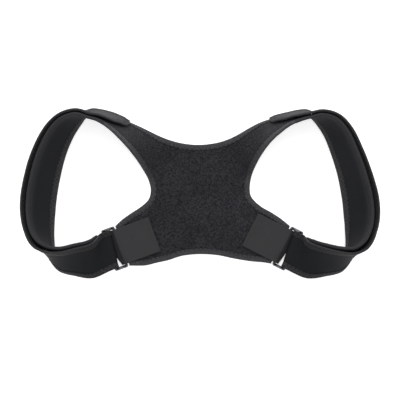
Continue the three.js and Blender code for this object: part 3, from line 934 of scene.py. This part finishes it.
def thread_material(colours):
    """Bonded nylon thread: twisted, slightly shiny"""
    material, tree = new_material("bonded_nylon_thread")
    base = linear(colours.thread)
    place = add_node(tree, "ShaderNodeTexCoord").outputs["Object"]
    twist = add_node(
        tree, "ShaderNodeTexNoise",
        {"Vector": place, "Scale": 1 / (0.4 * MM), "Detail": 1.0},
    )
    tone = add_node(
        tree, "ShaderNodeMix",
        {0: twist.outputs["Fac"], 6: scaled(base, 0.7), 7: scaled(base, 1.3)}, data_type="RGBA",
    ).outputs[2]
    surface(
        tree, tone, twist.outputs["Fac"], 0.3, 0.1 * MM,
        roughness=0.5, specular_ior_level=0.4,
    )
    return material


def plastic_material(colours):
    """Moulded acetal: satin black drawn with a grey base as a painted highlight, with a fine spark
    grain and soft highlights
    """
    material, tree = new_material("moulded_acetal")
    base = linear(colours.plastic)
    place = add_node(tree, "ShaderNodeTexCoord").outputs["Object"]
    grain = add_node(
        tree, "ShaderNodeTexNoise",
        {"Vector": place, "Scale": 1 / (0.5 * MM), "Detail": 2.0},
    )
    scuffs = add_node(
        tree, "ShaderNodeTexNoise",
        {"Vector": place, "Scale": 1 / (6 * MM), "Detail": 3.0},
    )
    tone = add_node(
        tree, "ShaderNodeMix",
        {0: scuffs.outputs["Fac"], 6: scaled(base, 0.85), 7: scaled(base, 1.2)}, data_type="RGBA",
    ).outputs[2]
    surface(
        tree, tone, grain.outputs["Fac"], 0.12, 0.05 * MM,
        roughness=0.38, ior=1.48, specular_ior_level=0.6,
    )
    return material


MATERIALS = {
    "pile": pile_material,
    "knit": knit_material,
    "tape": tape_material,
    "sewn": sewn_material,
    "dyed": dyed_material,
    "webbing": webbing_material,
    "thread": thread_material,
    "plastic": plastic_material,
}
made_materials = {}


def material_of(kind, colours):
    """Material of a kind, made once"""
    if kind not in made_materials:
        made_materials[kind] = MATERIALS[kind](colours)
    return made_materials[kind]


# Width of the pads' faces that the painted highlight by the rim covers, and how strong it is at the
# rim
RIM_HIGHLIGHT_WIDTH = 14 * MM
RIM_HIGHLIGHT = 0.62
# How strong the painted highlight on the tongue is, and the length from its tip where that ends and
# fades out
TONGUE_HIGHLIGHT = 0.85
TONGUE_HIGHLIGHT_END = 62 * MM
TONGUE_HIGHLIGHT_FADE = 26 * MM


def pad_highlight(from_rim):
    """Painted highlight on a pad's face at a distance from its rim"""
    return RIM_HIGHLIGHT * (1 - smooth(abs(from_rim) / RIM_HIGHLIGHT_WIDTH))


def tongue_highlight(from_tip):
    """Painted highlight on a strap's face at a distance from its tip"""
    return TONGUE_HIGHLIGHT * smooth((TONGUE_HIGHLIGHT_END - from_tip) / TONGUE_HIGHLIGHT_FADE)


class PartOperator(bpy.types.Operator):
    """Shared start of the operators that make pieces"""

    def begin(self, context):
        """Reads the settings and lays out both sides"""
        scene = context.scene
        self.sizes = scene.posture_sizes
        self.colours = scene.posture_colours
        self.sides = make_sides(self.sizes)
        self.shift = table_shift(self.sides[0])

    def point(self, section, distance, height):
        """Point of the cloth in the frame, with the cloth's ripple"""
        middle = section_point(section, distance, 0)
        normal = (section_point(section, distance, 1 * MM) - middle).normalized()
        return self.settled(middle, normal, height)

    def settled(self, middle, normal, height):
        """Point at a height over the rippled middle of the cloth"""
        spot = rippled(middle, normal, self.sizes.ripple) + normal * height + self.shift
        return Vector((spot.x, spot.y, max(spot.z, 0)))

    def knit_sheet(self, name, node, stations, thickness, highlight_of):
        """Padded sheet of smooth knit, with a painted highlight by the place of each vertex on its
        cloth
        """
        bm = sheet_grid(self, stations)
        bm.verts.index_update()
        places = cloth_places(bm)
        material = material_of("knit", self.colours)
        piece = finished(name, bm, material, "smooth_knit", node)
        mark(piece, "brushed", lambda k: highlight_of(places[k]))
        thicken(piece, thickness, 0, pinch(piece, lambda k: self.fullness(places[k].y)))
        return piece

    def fullness(self, distance):
        """How full the padding is at a distance from an edge"""
        tape = self.sizes.tape_width
        rise = held((distance - tape) / (tape * PADDING_RISE), 0, 1)
        return math.sin(rise * math.pi / 2)


# Share of a padded sheet's thickness that is left under its tapes, and how far in from them,
# in widths of a tape, the padding is full
EDGE_PADDING = 0.62
PADDING_RISE = 0.9
# Places across a sheet, in widths of a tape: by its edges, where the even ones start, and these
EDGE_COLUMNS = (0, 0.5, 1, 1.2, 1.6, 2.2)
EVEN_COLUMNS_START = 2.8
EVEN_COLUMNS = 16
# How many stretches each piece is divided into along its length
WAIST_STEPS = 22
ARMHOLE_STEPS = 90
LOW_ARMHOLE_STEPS = 70
PAD_STEPS = 260
TONGUE_STEPS = 70
STRAP_STEPS = 240
TURN_STEPS = 36
EDGE_STEPS = 60
# Last row of each half of the panel, and the stretches up to it
PANEL_HALVES = {"upper": (PANEL_END_ROW, 72), "lower_half": (LAST_LOW_ROW, 54)}


def across_panel(sides, half):
    """Sections of the panel's upper or lower half, from the left arm's end to the right's"""
    left, right = sides
    rows = steps(-1, 0, WAIST_STEPS)[:-1] + steps(0, *PANEL_HALVES[half])
    sections = [getattr(left, half)(row) for row in reversed(rows)]
    return sections + [getattr(right, half)(row) for row in rows[1:]]


def pad_sections(side):
    """Sections of the pad from the panel to the ring"""
    return [side.pad(row) for row in steps(PAD_START_ROW, PAD_END_ROW, PAD_STEPS)]


def strap_sections(side, turn_shares):
    """Sections of the strap from its tip to the ring, and on round it"""
    tongue_end = TONGUE[-1].row
    rows = steps(TONGUE[0].row, tongue_end, TONGUE_STEPS)[:-1]
    rows += steps(tongue_end, STRAP_END_ROW, STRAP_STEPS)
    return [side.strap(row) for row in rows] + [side.strap_turn(share) for share in turn_shares]


def sheet_columns(width, tape_width):
    """Places across a sheet, closer together by its taped edges"""
    start = tape_width * EVEN_COLUMNS_START / width
    middle = steps(start, 1 - start, EVEN_COLUMNS)
    near = [tape_width * share / width for share in EDGE_COLUMNS]
    return near + middle + [1 - share for share in reversed(near)]


def sheet_grid(operator, stations):
    """Middle surface of a padded sheet through its sections"""
    columns = sheet_columns(BAND_WIDTH, operator.sizes.tape_width)

    def place(section, share):
        width = (section.rim - section.foot).length
        return operator.point(section, share * width, 0)

    return grid_mesh(stations, columns, place, [share * BAND_WIDTH for share in columns])


def pinch(piece, fullness_of):
    """Vertex group that thins a padded sheet under its taped edges"""
    group = piece.vertex_groups.new(name="padding")
    for vert in piece.data.vertices:
        group.add([vert.index], mixed(EDGE_PADDING, 1, fullness_of(vert.index)), "REPLACE")
    return group.name


def mark(piece, name, share_of):
    """Attribute of a piece that a material reads, from each vertex's index"""
    layer = piece.data.attributes.new(name, "FLOAT", "POINT")
    for k, spot in enumerate(layer.data):
        spot.value = share_of(k)


def cloth_places(bm):
    """Place of each vertex on its own cloth, along and across, in metres"""
    uv = bm.loops.layers.uv.active
    return {loop.vert.index: loop[uv].uv.copy() for face in bm.faces for loop in face.loops}


class POSTURE_OT_back_panel(PartOperator):
    """Makes the back panel: one X of padded cloth with its textured face up"""

    bl_idname = "posture.back_panel"
    bl_label = "Back panel"

    def execute(self, context):
        self.begin(context)
        bm = bmesh.new()
        for half in PANEL_HALVES:
            part = sheet_grid(self, across_panel(self.sides, half))
            face_towards(part, lambda point: UP)
            join(bm, part)
        bmesh.ops.remove_doubles(bm, verts=bm.verts, dist=0.05 * MM)
        bm.verts.index_update()
        material = material_of("pile", self.colours)
        piece = finished("panel_cloth", bm, material, "loop_pile", "back_panel")
        vertices, edges = piece.data.vertices, self.edge_points()

        def fullness_of(k):
            return self.fullness(min((vertices[k].co - edge).length for edge in edges))

        thicken(piece, self.sizes.panel_thickness, 0, pinch(piece, fullness_of))
        return {"FINISHED"}

    def edge_points(self):
        """Points all along the panel's long edges"""
        points = []
        for side in self.sides:
            for edge, first, last in (
                (side.foot, -1, SEAM_ROW), (side.rim, 0, SEAM_ROW),
                (side.hem, -1, LAST_LOW_ROW), (side.lower_rim, 0, LAST_LOW_ROW),
            ):
                points += [edge(row) + self.shift for row in steps(first, last, EDGE_STEPS)]
        return points


def join(bm, other):
    """Adds one bmesh's mesh to another, and frees it"""
    mesh = bpy.data.meshes.new("joined")
    other.to_mesh(mesh)
    other.free()
    bm.from_mesh(mesh)
    bpy.data.meshes.remove(mesh)


class POSTURE_OT_shoulder_pads(PartOperator):
    """Makes both shoulder pads: the smooth inner layer of each loop"""

    bl_idname = "posture.shoulder_pads"
    bl_label = "Shoulder pads"

    def execute(self, context):
        self.begin(context)
        for side in self.sides:
            piece = self.knit_sheet(
                f"pad_cloth_{side.name}", f"shoulder_pad_{side.name}", pad_sections(side),
                self.sizes.pad_thickness, lambda spot: pad_highlight(BAND_WIDTH - spot.y),
            )
        return {"FINISHED"}


class POSTURE_OT_shoulder_straps(PartOperator):
    """Makes both shoulder straps: the outer layer, from its tongue round to the ring"""

    bl_idname = "posture.shoulder_straps"
    bl_label = "Shoulder straps"

    def execute(self, context):
        self.begin(context)
        for side in self.sides:
            piece = self.knit_sheet(
                f"strap_cloth_{side.name}", f"shoulder_strap_{side.name}",
                strap_sections(side, steps(0, 1, TURN_STEPS)),
                self.sizes.strap_thickness, lambda spot: tongue_highlight(spot.x),
            )
        return {"FINISHED"}


# Width of the painted highlight along the fold of the straps' rim tapes
FOLD_HIGHLIGHT = 3.5 * MM
# Width of the tape along the pads' feet
WIDE_TAPE = 12 * MM
# Stations of the tongue's foot edge that the tape round its tip covers
TIP_STATIONS = 7
# How much of the strap's turn round the ring its tapes follow
TAPE_TURN_STEPS = 24
TAPE_TURN_SHARE = 0.62
# How far the tape stands off the cloth's faces, and its inside off the cloth's edge
TAPE_CLEARANCE = 0.15 * MM
FOLD_CLEARANCE = 0.3 * MM


def tape_profile(thickness, width, wall):
    """Outer line of a folded tape: distances in from the edge, and heights"""
    half = thickness / 2 + TAPE_CLEARANCE
    centre = half - wall - FOLD_CLEARANCE
    top = [(distance, half) for distance in steps(width, centre, 5)]
    fold = [
        (centre - math.sin(angle) * half, math.cos(angle) * half)
        for angle in steps(0, math.pi, 8)
    ]
    bottom = [(distance, -half) for distance in steps(centre, width, 5)]
    return top + fold[1:-1] + bottom


class POSTURE_OT_edge_tapes(PartOperator):
    """Makes the tapes folded round the edges of the panel, pads and straps"""

    bl_idname = "posture.edge_tapes"
    bl_label = "Edge tapes"

    def execute(self, context):
        self.begin(context)
        for run in tape_runs(self.sides, self.sizes):
            profile = tape_profile(run.thickness, run.width, self.sizes.tape_wall)
            lengths = [0]
            for a, b in zip(profile, profile[1:]):
                lengths.append(lengths[-1] + math.dist(a, b))
            fold = lengths[-1] / 2
            lengths = [min(length, 2 * fold - length) for length in lengths]

            def place(station, spot):
                middle = station.edge + station.inward * spot[0]
                return self.settled(middle, station.normal, spot[1])

            bm = grid_mesh(run.stations, profile, place, lengths)
            turn_out(bm, run, self)
            bm.verts.index_update()
            places = cloth_places(bm)
            material = material_of(run.kind, self.colours)
            piece = finished(run.name, bm, material, "edge_tape", run.node)
            # Painted highlight along the pads' rims and along the fold of the straps' rim tapes
            if run.kind == "knit":
                mark(piece, "brushed", lambda k: pad_highlight(fold - places[k].y))
            if run.kind == "dyed":
                mark(piece, "brushed", lambda k: 1 - smooth((fold - places[k].y) / FOLD_HIGHLIGHT))
            thicken(piece, self.sizes.tape_wall, -1)
        return {"FINISHED"}


TapeRun = namedtuple("TapeRun", "name node kind thickness width stations")
Station = namedtuple("Station", "edge inward normal")


def stations_along(line, towards):
    """Stations of an edge's line of (point, normal), its inward way nearest to the one given"""
    before, after = [line[0], *line[:-1]], [*line[1:], line[-1]]
    inward = [
        normal.cross(b - a).normalized() for (a, _), (b, _), (_, normal) in zip(before, after, line)
    ]
    sign = 1 if inward[len(line) // 2].dot(towards) > 0 else -1
    return [Station(edge, way * sign, normal) for (edge, normal), way in zip(line, inward)]


def edge_line(sections, edge):
    """Line of (point, normal) along one edge of some sections"""
    return [(getattr(s, edge), getattr(s, f"{edge}_normal")) for s in sections]


def edge_stations(sections, edge, lead=()):
    """Stations along one edge of a sheet, after a lead that comes before it"""
    line = [*lead, *edge_line(sections, edge)]
    middle = sections[len(line) // 2 - len(lead)]
    towards = middle.rim - middle.foot
    return stations_along(line, towards if edge == "foot" else -towards)


def tape_runs(sides, sizes):
    """Every tape: its name, the node that it stands for, its kind and its stations"""
    runs = []

    def add(node, kind, thickness, stations, width=sizes.tape_width):
        runs.append(TapeRun(f"sewn_{node}", node, kind, thickness, width, stations))

    for name, half in (("neckline_tape", "upper"), ("hem_tape", "lower_half")):
        stations = edge_stations(across_panel(sides, half), "foot")
        add(name, "tape", sizes.panel_thickness, stations)
    for side in sides:
        arm = steps(0, PANEL_END_ROW, ARMHOLE_STEPS)
        low_arm = steps(0, LAST_LOW_ROW, LOW_ARMHOLE_STEPS)[1:]
        sections = [side.upper(row) for row in reversed(arm)]
        sections += [side.lower_half(row) for row in low_arm]
        stations = edge_stations(sections, "rim")
        add(f"armhole_tape_{side.name}", "tape", sizes.panel_thickness, stations)

        pad = pad_sections(side)
        for edge, kind, width in (
            ("foot", "sewn", WIDE_TAPE), ("rim", "knit", sizes.tape_width),
        ):
            name = f"pad_{edge}_tape_{side.name}"
            add(name, kind, sizes.pad_thickness, edge_stations(pad, edge), width)

        strap = strap_sections(side, steps(0, TAPE_TURN_SHARE, TAPE_TURN_STEPS))
        tip, past_tip = strap[0], strap[TIP_STATIONS:]
        name = f"strap_foot_tape_{side.name}"
        add(name, "sewn", sizes.strap_thickness, edge_stations(past_tip, "foot"))
        lead = [(tip.foot.lerp(tip.rim, share), tip.foot_normal) for share in steps(0, 0.9, 6)]
        name = f"strap_rim_tape_{side.name}"
        add(name, "dyed", sizes.strap_thickness, edge_stations(strap, "rim", lead))
    return runs


# How far in from its edge the middle of the cloth inside a tape is taken
CORE_DEPTH = 2.5 * MM


def turn_out(bm, run, operator):
    """Turns a tape's faces away from the cloth that it is folded round"""
    bm.faces.ensure_lookup_table()
    sample = bm.faces[len(bm.faces) // 2]
    place = sample.calc_center_median() - operator.shift
    station = min(run.stations, key=lambda s: (s.edge - place).length)
    core = station.edge + station.inward * CORE_DEPTH
    if sample.normal.dot(place - core) < 0:
        bmesh.ops.reverse_faces(bm, faces=bm.faces)


# Clearance of the webbing's edges in the slot, whose end bars the strap is pressed against
SLOT_CLEARANCE = 0.7 * MM
# Radii of the ring's corners and of all its edges, and the angle that counts as an edge
CORNER_RADIUS = 2.5 * MM
EDGE_RADIUS = 0.7 * MM
SHARP_ANGLE = 0.9


class POSTURE_OT_rings(PartOperator):
    """Makes both moulded rings"""

    bl_idname = "posture.rings"
    bl_label = "Rings"

    def execute(self, context):
        self.begin(context)
        for side in self.sides:
            bm = bmesh.new()
            bmesh.ops.create_grid(bm, x_segments=1, y_segments=1, size=0.5)
            length = self.sizes.webbing_width + 2 * (SIDE_CLEARANCE + RING_BAR)
            width = RING_GAP + 2 * RING_BAR
            bmesh.ops.scale(bm, vec=(width, length, 1), verts=bm.verts)
            bmesh.ops.bevel(
                bm, geom=bm.verts[:], offset=CORNER_RADIUS, segments=6, profile=0.5,
                affect="VERTICES", material=-1,
            )
            bmesh.ops.inset_region(
                bm, faces=bm.faces[:], thickness=RING_BAR, use_boundary=True, use_even_offset=True
            )
            inner = min(bm.faces, key=lambda face: face.calc_center_median().length)
            stretch = (self.sizes.webbing_width + 2 * SLOT_CLEARANCE) / (length - 2 * RING_BAR)
            bmesh.ops.scale(bm, vec=(1, stretch, 1), verts=inner.verts[:])
            bmesh.ops.delete(bm, geom=[inner], context="FACES")
            shell = bmesh.ops.extrude_face_region(bm, geom=bm.faces[:])
            lifted = [v for v in shell["geom"] if isinstance(v, bmesh.types.BMVert)]
            bmesh.ops.translate(bm, vec=(0, 0, RING_THICKNESS), verts=lifted)
            bmesh.ops.recalc_face_normals(bm, faces=bm.faces)
            sharp = [e for e in bm.edges if e.calc_face_angle(0) > SHARP_ANGLE]
            bmesh.ops.bevel(
                bm, geom=sharp, offset=EDGE_RADIUS, segments=4, profile=0.5,
                affect="EDGES", material=-1,
            )
            for face in bm.faces:
                face.smooth = True
            turn = Matrix((side.inward, UP.cross(side.inward), UP)).transposed().to_4x4()
            height = RING_HEIGHT - RING_THICKNESS / 2
            centre = side.at(side.ring_centre, 0, height) + self.shift
            bmesh.ops.transform(bm, matrix=Matrix.Translation(centre) @ turn, verts=bm.verts)
            material = material_of("plastic", self.colours)
            name = f"moulded_ring_{side.name}"
            finished(name, bm, material, "ring_plastic", f"ring_{side.name}")
        return {"FINISHED"}


# The gap by the ring is a wedge: its share of the width, and how far it closes at the foot
WEDGE_SHARE = {"left": 0.28, "right": 0.48}
WEDGE_SLACK = 0.3
# How far the strap stands out of the ring's bar where the webbing meets it, how much of its
# slack counts there, and how far in from the webbing's own turn its lower layer starts
STRAP_REACH = 4 * MM
SLACK_REACH = 0.7
LAYER_SET_IN = 2 * MM
# The lower layer is loose over the turn's first part, where it droops under the gap by the ring and
# shows its painted shade there
LOOSE_TURN = 1.7
DROOP = 2.4 * MM
# Shade by the bend: where it starts before the bar at the foot and the rim, in millimetres,
# the length that it fades over, and how dark it is
BEND_START = (16, 3.5)
BEND_FADE = 3 * MM
BEND_SHADE = 0.42
# How far past the arm's end the tuck and the tab meet the turn, and the stretches of each
TUCK_CLEAR = 0.5 * MM
TAB_CLEAR = 1 * MM
TUCK_STEPS = 10
WEBBING_TURN_STEPS = 28
TAB_STEPS = 40


class POSTURE_OT_webbing_tabs(PartOperator):
    """Makes both webbing tabs: under the arm's end, round the ring and back on the panel"""

    bl_idname = "posture.webbing_tabs"
    bl_label = "Webbing tabs"

    def execute(self, context):
        self.begin(context)
        sizes = self.sizes
        half = sizes.webbing_width / 2
        for side in self.sides:
            path = self.path(side)
            across = steps(-half, half, TAB_STEPS)

            def place(spot, offset, side=side):
                along, height, slack, droop = spot
                share = offset / sizes.webbing_width + 0.5
                loose = mixed(WEDGE_SLACK, 1, held(share / WEDGE_SHARE[side.name], 0, 1))
                gap = self.strap_gap(side, offset)
                spot = side.at(along - slack * loose * gap, offset, height - droop * loose)
                return spot + self.shift

            bm = grid_mesh(path, across, place, [offset + half for offset in across])
            top = side.at(path[-4][0], 0, path[-4][1]) + self.shift
            face = min(bm.faces, key=lambda f: (f.calc_center_median() - top).length)
            if face.normal.z < 0:
                bmesh.ops.reverse_faces(bm, faces=bm.faces)
            bm.verts.index_update()
            spots = cloth_places(bm)
            flat_length = sum(face.calc_area() for face in bm.faces) / sizes.webbing_width
            material = material_of("webbing", self.colours)
            name = f"tab_webbing_{side.name}"
            piece = finished(name, bm, material, "tab_webbing", f"webbing_{side.name}")
            length = sum(math.dist(a[:2], b[:2]) for a, b in zip(path, path[1:]))
            # Painted shade by the bend and underneath
            mark(piece, "creased", lambda k: self.creased(spots[k], length))
            thicken(piece, sizes.webbing_thickness, 0)
        return {"FINISHED"}

    def strap_gap(self, side, offset):
        """How far the lower layer can reach out before it meets the strap's turn"""
        share = offset / self.sizes.webbing_width + 0.5
        strap = RING_SET_OFF + STRAP_REACH + STRAP_SLACK[side.name] * SLACK_REACH * share
        fold = RING_SET_OFF + RING_GAP + RING_BAR - RING_THICKNESS / 2 - LAYER_SET_IN
        return fold - strap

    def creased(self, spot, length):
        """Painted shade on the webbing: by its bend at the ring, and on its underside past the bar
        """
        sizes = self.sizes
        from_end = length - spot.x
        share = spot.y / sizes.webbing_width
        bend = sizes.tab_length - mixed(*BEND_START, share) * MM
        under = smooth((from_end - sizes.tab_length - BEND_FADE) / BEND_FADE)
        return max(BEND_SHADE * smooth((from_end - bend) / BEND_FADE), under)

    def path(self, side):
        """Line of the webbing: distance past the band's end, height, slack and droop"""
        sizes = self.sizes
        thickness = sizes.webbing_thickness
        radius = RING_THICKNESS / 2 + LAYER_GAP + thickness / 2
        bar = RING_SET_OFF + RING_GAP + RING_BAR
        clear = sizes.panel_thickness / 2 + LAYER_GAP + thickness / 2

        def layer(past, sign):
            return (side.arm_end + past, side.arm_height(past) + sign * clear, 0, 0)

        under = [layer(past, -1) for past in steps(sizes.tuck_length, TUCK_CLEAR, TUCK_STEPS)]
        turn = []
        for angle in steps(0, math.pi, WEBBING_TURN_STEPS):
            slack = max(math.sin(angle * LOOSE_TURN), 0) if angle < math.pi / LOOSE_TURN else 0
            along = bar - math.sin(angle) * radius
            height = RING_HEIGHT - math.cos(angle) * radius
            turn.append((along, height, slack, slack * DROOP))
        reach = sizes.tab_length - (side.arm_end - bar)
        over = [layer(past, 1) for past in steps(TAB_CLEAR, reach, TAB_STEPS)]
        return under + turn + over


# How far in from the tab's free end its seam is
TAB_SEAM_IN = 4 * MM
# The seam's distance in from the tab's sides, and its points but one
SEAM_INSET = 2 * MM
SEAM_STEPS = 31
# Half of a strand's length for each metre that it spans, so that its ends sink in
STRAND_SHARE = 0.55
# Stitching: its start along a tape, how far it lands past the tape's inner edge, and where
# its other row is, as a share of the tape's width
FIRST_STITCH = 1 * MM
STITCH_PAST = 0.2 * MM
OUTER_ROW = 0.42


def add_strand(bm, start, end, normal, radius):
    """Short stretch of thread lying on the cloth, thick in its middle and sunk at its ends"""
    along = end - start
    matrix = Matrix.Translation((start + end) / 2)
    side = along.cross(normal).normalized()
    turn = Matrix((along.normalized(), side, normal)).transposed().to_4x4()
    size = Matrix.Diagonal((along.length * STRAND_SHARE, radius, radius, 1))
    made = bmesh.ops.create_icosphere(bm, subdivisions=1, radius=1, matrix=matrix @ turn @ size)
    for vert in made["verts"]:
        for face in vert.link_faces:
            face.smooth = True


class POSTURE_OT_stitching(PartOperator):
    """Makes the zigzag stitching that holds the tapes, on both faces"""

    bl_idname = "posture.stitching"
    bl_label = "Stitching"

    def execute(self, context):
        self.begin(context)
        sizes = self.sizes
        material = material_of("thread", self.colours)
        for side in self.sides:
            bm = bmesh.new()
            ends = self.tab_seam(side)
            for start, end in zip(ends[::2], ends[1::2]):
                add_strand(bm, start, end, UP, sizes.thread_radius)
            finished(f"stitches_tab_{side.name}", bm, material, "edge_tape")
        for run in tape_runs(self.sides, sizes):
            if run.kind == "knit":
                continue
            inner = run.width + STITCH_PAST
            outer = run.width * OUTER_ROW
            bm = bmesh.new()
            for face_sign in (1, -1):
                spots = self.zigzag(run, inner, outer, face_sign)
                for (a, a_normal), (b, b_normal) in zip(spots, spots[1:]):
                    normal = (a_normal + b_normal).normalized()
                    add_strand(bm, a, b, normal, sizes.thread_radius)
            name = run.name.replace("sewn", "stitches")
            finished(name, bm, material, "edge_tape")
        return {"FINISHED"}

    def tab_seam(self, side):
        """Points of the seam across the tab, by its free end"""
        sizes = self.sizes
        bar = RING_SET_OFF + RING_GAP + RING_BAR
        past = sizes.tab_length - (side.arm_end - bar) - TAB_SEAM_IN
        lift = sizes.panel_thickness / 2 + LAYER_GAP + sizes.webbing_thickness
        reach = sizes.webbing_width / 2 - SEAM_INSET
        offsets = steps(-reach, reach, SEAM_STEPS)
        return [
            side.at(side.arm_end + past, offset, side.arm_height(past) + lift) + self.shift
            for offset in offsets
        ]

    def zigzag(self, run, inner, outer, face_sign):
        """Points of the stitching, half a pitch apart, in turn by either side of the tape"""
        height = face_sign * (run.thickness / 2 + TAPE_CLEARANCE)
        spots = []
        travelled, goal = 0, FIRST_STITCH
        before = run.stations[0].edge
        for station in run.stations:
            travelled += (station.edge - before).length
            before = station.edge
            if travelled < goal:
                continue
            goal += self.sizes.stitch_pitch / 2
            inward = inner if len(spots) % 2 else outer
            middle = station.edge + station.inward * inward
            point = self.settled(middle, station.normal, height)
            spots.append((point, station.normal * face_sign))
        return spots


def add_area_light(name, place, size, power):
    """Soft light of a size, looking at the middle of the surface"""
    data = bpy.data.lights.new(name, "AREA")
    data.shape = "RECTANGLE"
    data.size, data.size_y = size
    data.energy = power
    lamp = bpy.data.objects.new(name, data)
    lamp.location = place
    lamp.rotation_euler = (Vector((0, 0, 0)) - Vector(place)).to_track_quat("-Z", "Y").to_euler()
    bpy.context.scene.collection.objects.link(lamp)


def floor_material(colours):
    """Matte paper lit from under, as on a light table: pale, even and without dark shadows"""
    material, tree = new_material("matte_paper")
    shader = add_node(
        tree, "ShaderNodeBsdfPrincipled",
        {
            "Base Color": linear(colours.floor), "Roughness": 0.9, "Specular IOR Level": 0.1,
            "Emission Color": linear(colours.floor), "Emission Strength": 0.5,
        },
    )
    add_node(tree, "ShaderNodeOutputMaterial", {"Surface": shader.outputs[0]})
    return material


# Half of the floor's side, in metres, and the strength of the room's even light
FLOOR_REACH = 6
ROOM_LIGHT = 0.9


class POSTURE_OT_stage(bpy.types.Operator):
    """Makes the pale floor, the soft light and the camera straight above"""

    bl_idname = "posture.stage"
    bl_label = "Stage"

    def execute(self, context):
        scene = context.scene
        settings = scene.posture_stage
        bm = bmesh.new()
        bmesh.ops.create_grid(bm, x_segments=1, y_segments=1, size=FLOOR_REACH)
        mesh = bpy.data.meshes.new("floor")
        bm.to_mesh(mesh)
        bm.free()
        mesh.materials.append(floor_material(scene.posture_colours))
        floor = bpy.data.objects.new("floor", mesh)
        scene.collection.objects.link(floor)

        world = bpy.data.worlds.new("soft_room")
        world.use_nodes = True
        background = world.node_tree.nodes["Background"]
        background.inputs["Color"].default_value = (1, 1, 1, 1)
        background.inputs["Strength"].default_value = ROOM_LIGHT
        scene.world = world
        add_area_light("key_light", place=(0, 1.8, 1.3), size=(2.2, 1.0), power=34)
        add_area_light("fill_light", place=(0, -1.2, 1.9), size=(2.0, 1.0), power=5)
        scene.view_settings.view_transform = "Standard"

        data = bpy.data.cameras.new("camera")
        data.sensor_width = 36
        data.lens = data.sensor_width * settings.camera_height / settings.view_width
        camera = bpy.data.objects.new("camera", data)
        camera.location = (0, -settings.view_offset, settings.camera_height)
        scene.collection.objects.link(camera)
        scene.camera = camera
        return {"FINISHED"}


OPERATORS = (
    POSTURE_OT_back_panel,
    POSTURE_OT_shoulder_pads,
    POSTURE_OT_shoulder_straps,
    POSTURE_OT_edge_tapes,
    POSTURE_OT_rings,
    POSTURE_OT_webbing_tabs,
    POSTURE_OT_stitching,
    POSTURE_OT_stage,
)


class POSTURE_PT_panel(bpy.types.Panel):
    """Settings and steps of the posture corrector"""

    bl_label = "Posture Corrector"
    bl_space_type = "VIEW_3D"
    bl_region_type = "UI"
    bl_category = "Posture Corrector"

    def draw(self, context):
        scene = context.scene
        for settings in (scene.posture_sizes, scene.posture_colours, scene.posture_stage):
            box = self.layout.box()
            for name in settings.__annotations__:
                box.prop(settings, name)
        for operator in OPERATORS:
            self.layout.operator(operator.bl_idname)


CLASSES = (ClothSizes, ClothColours, StageSettings, *OPERATORS, POSTURE_PT_panel)


def register():
    for made in CLASSES:
        bpy.utils.register_class(made)
    scene = bpy.types.Scene
    scene.posture_sizes = bpy.props.PointerProperty(type=ClothSizes)
    scene.posture_colours = bpy.props.PointerProperty(type=ClothColours)
    scene.posture_stage = bpy.props.PointerProperty(type=StageSettings)


def unregister():
    scene = bpy.types.Scene
    del scene.posture_stage, scene.posture_colours, scene.posture_sizes
    for made in reversed(CLASSES):
        bpy.utils.unregister_class(made)


def main():
    register()
    bpy.ops.posture.back_panel()
    bpy.ops.posture.shoulder_pads()
    bpy.ops.posture.shoulder_straps()
    bpy.ops.posture.edge_tapes()
    bpy.ops.posture.rings()
    bpy.ops.posture.webbing_tabs()
    bpy.ops.posture.stitching()
    bpy.ops.posture.stage()


if __name__ == "__main__":
    main()
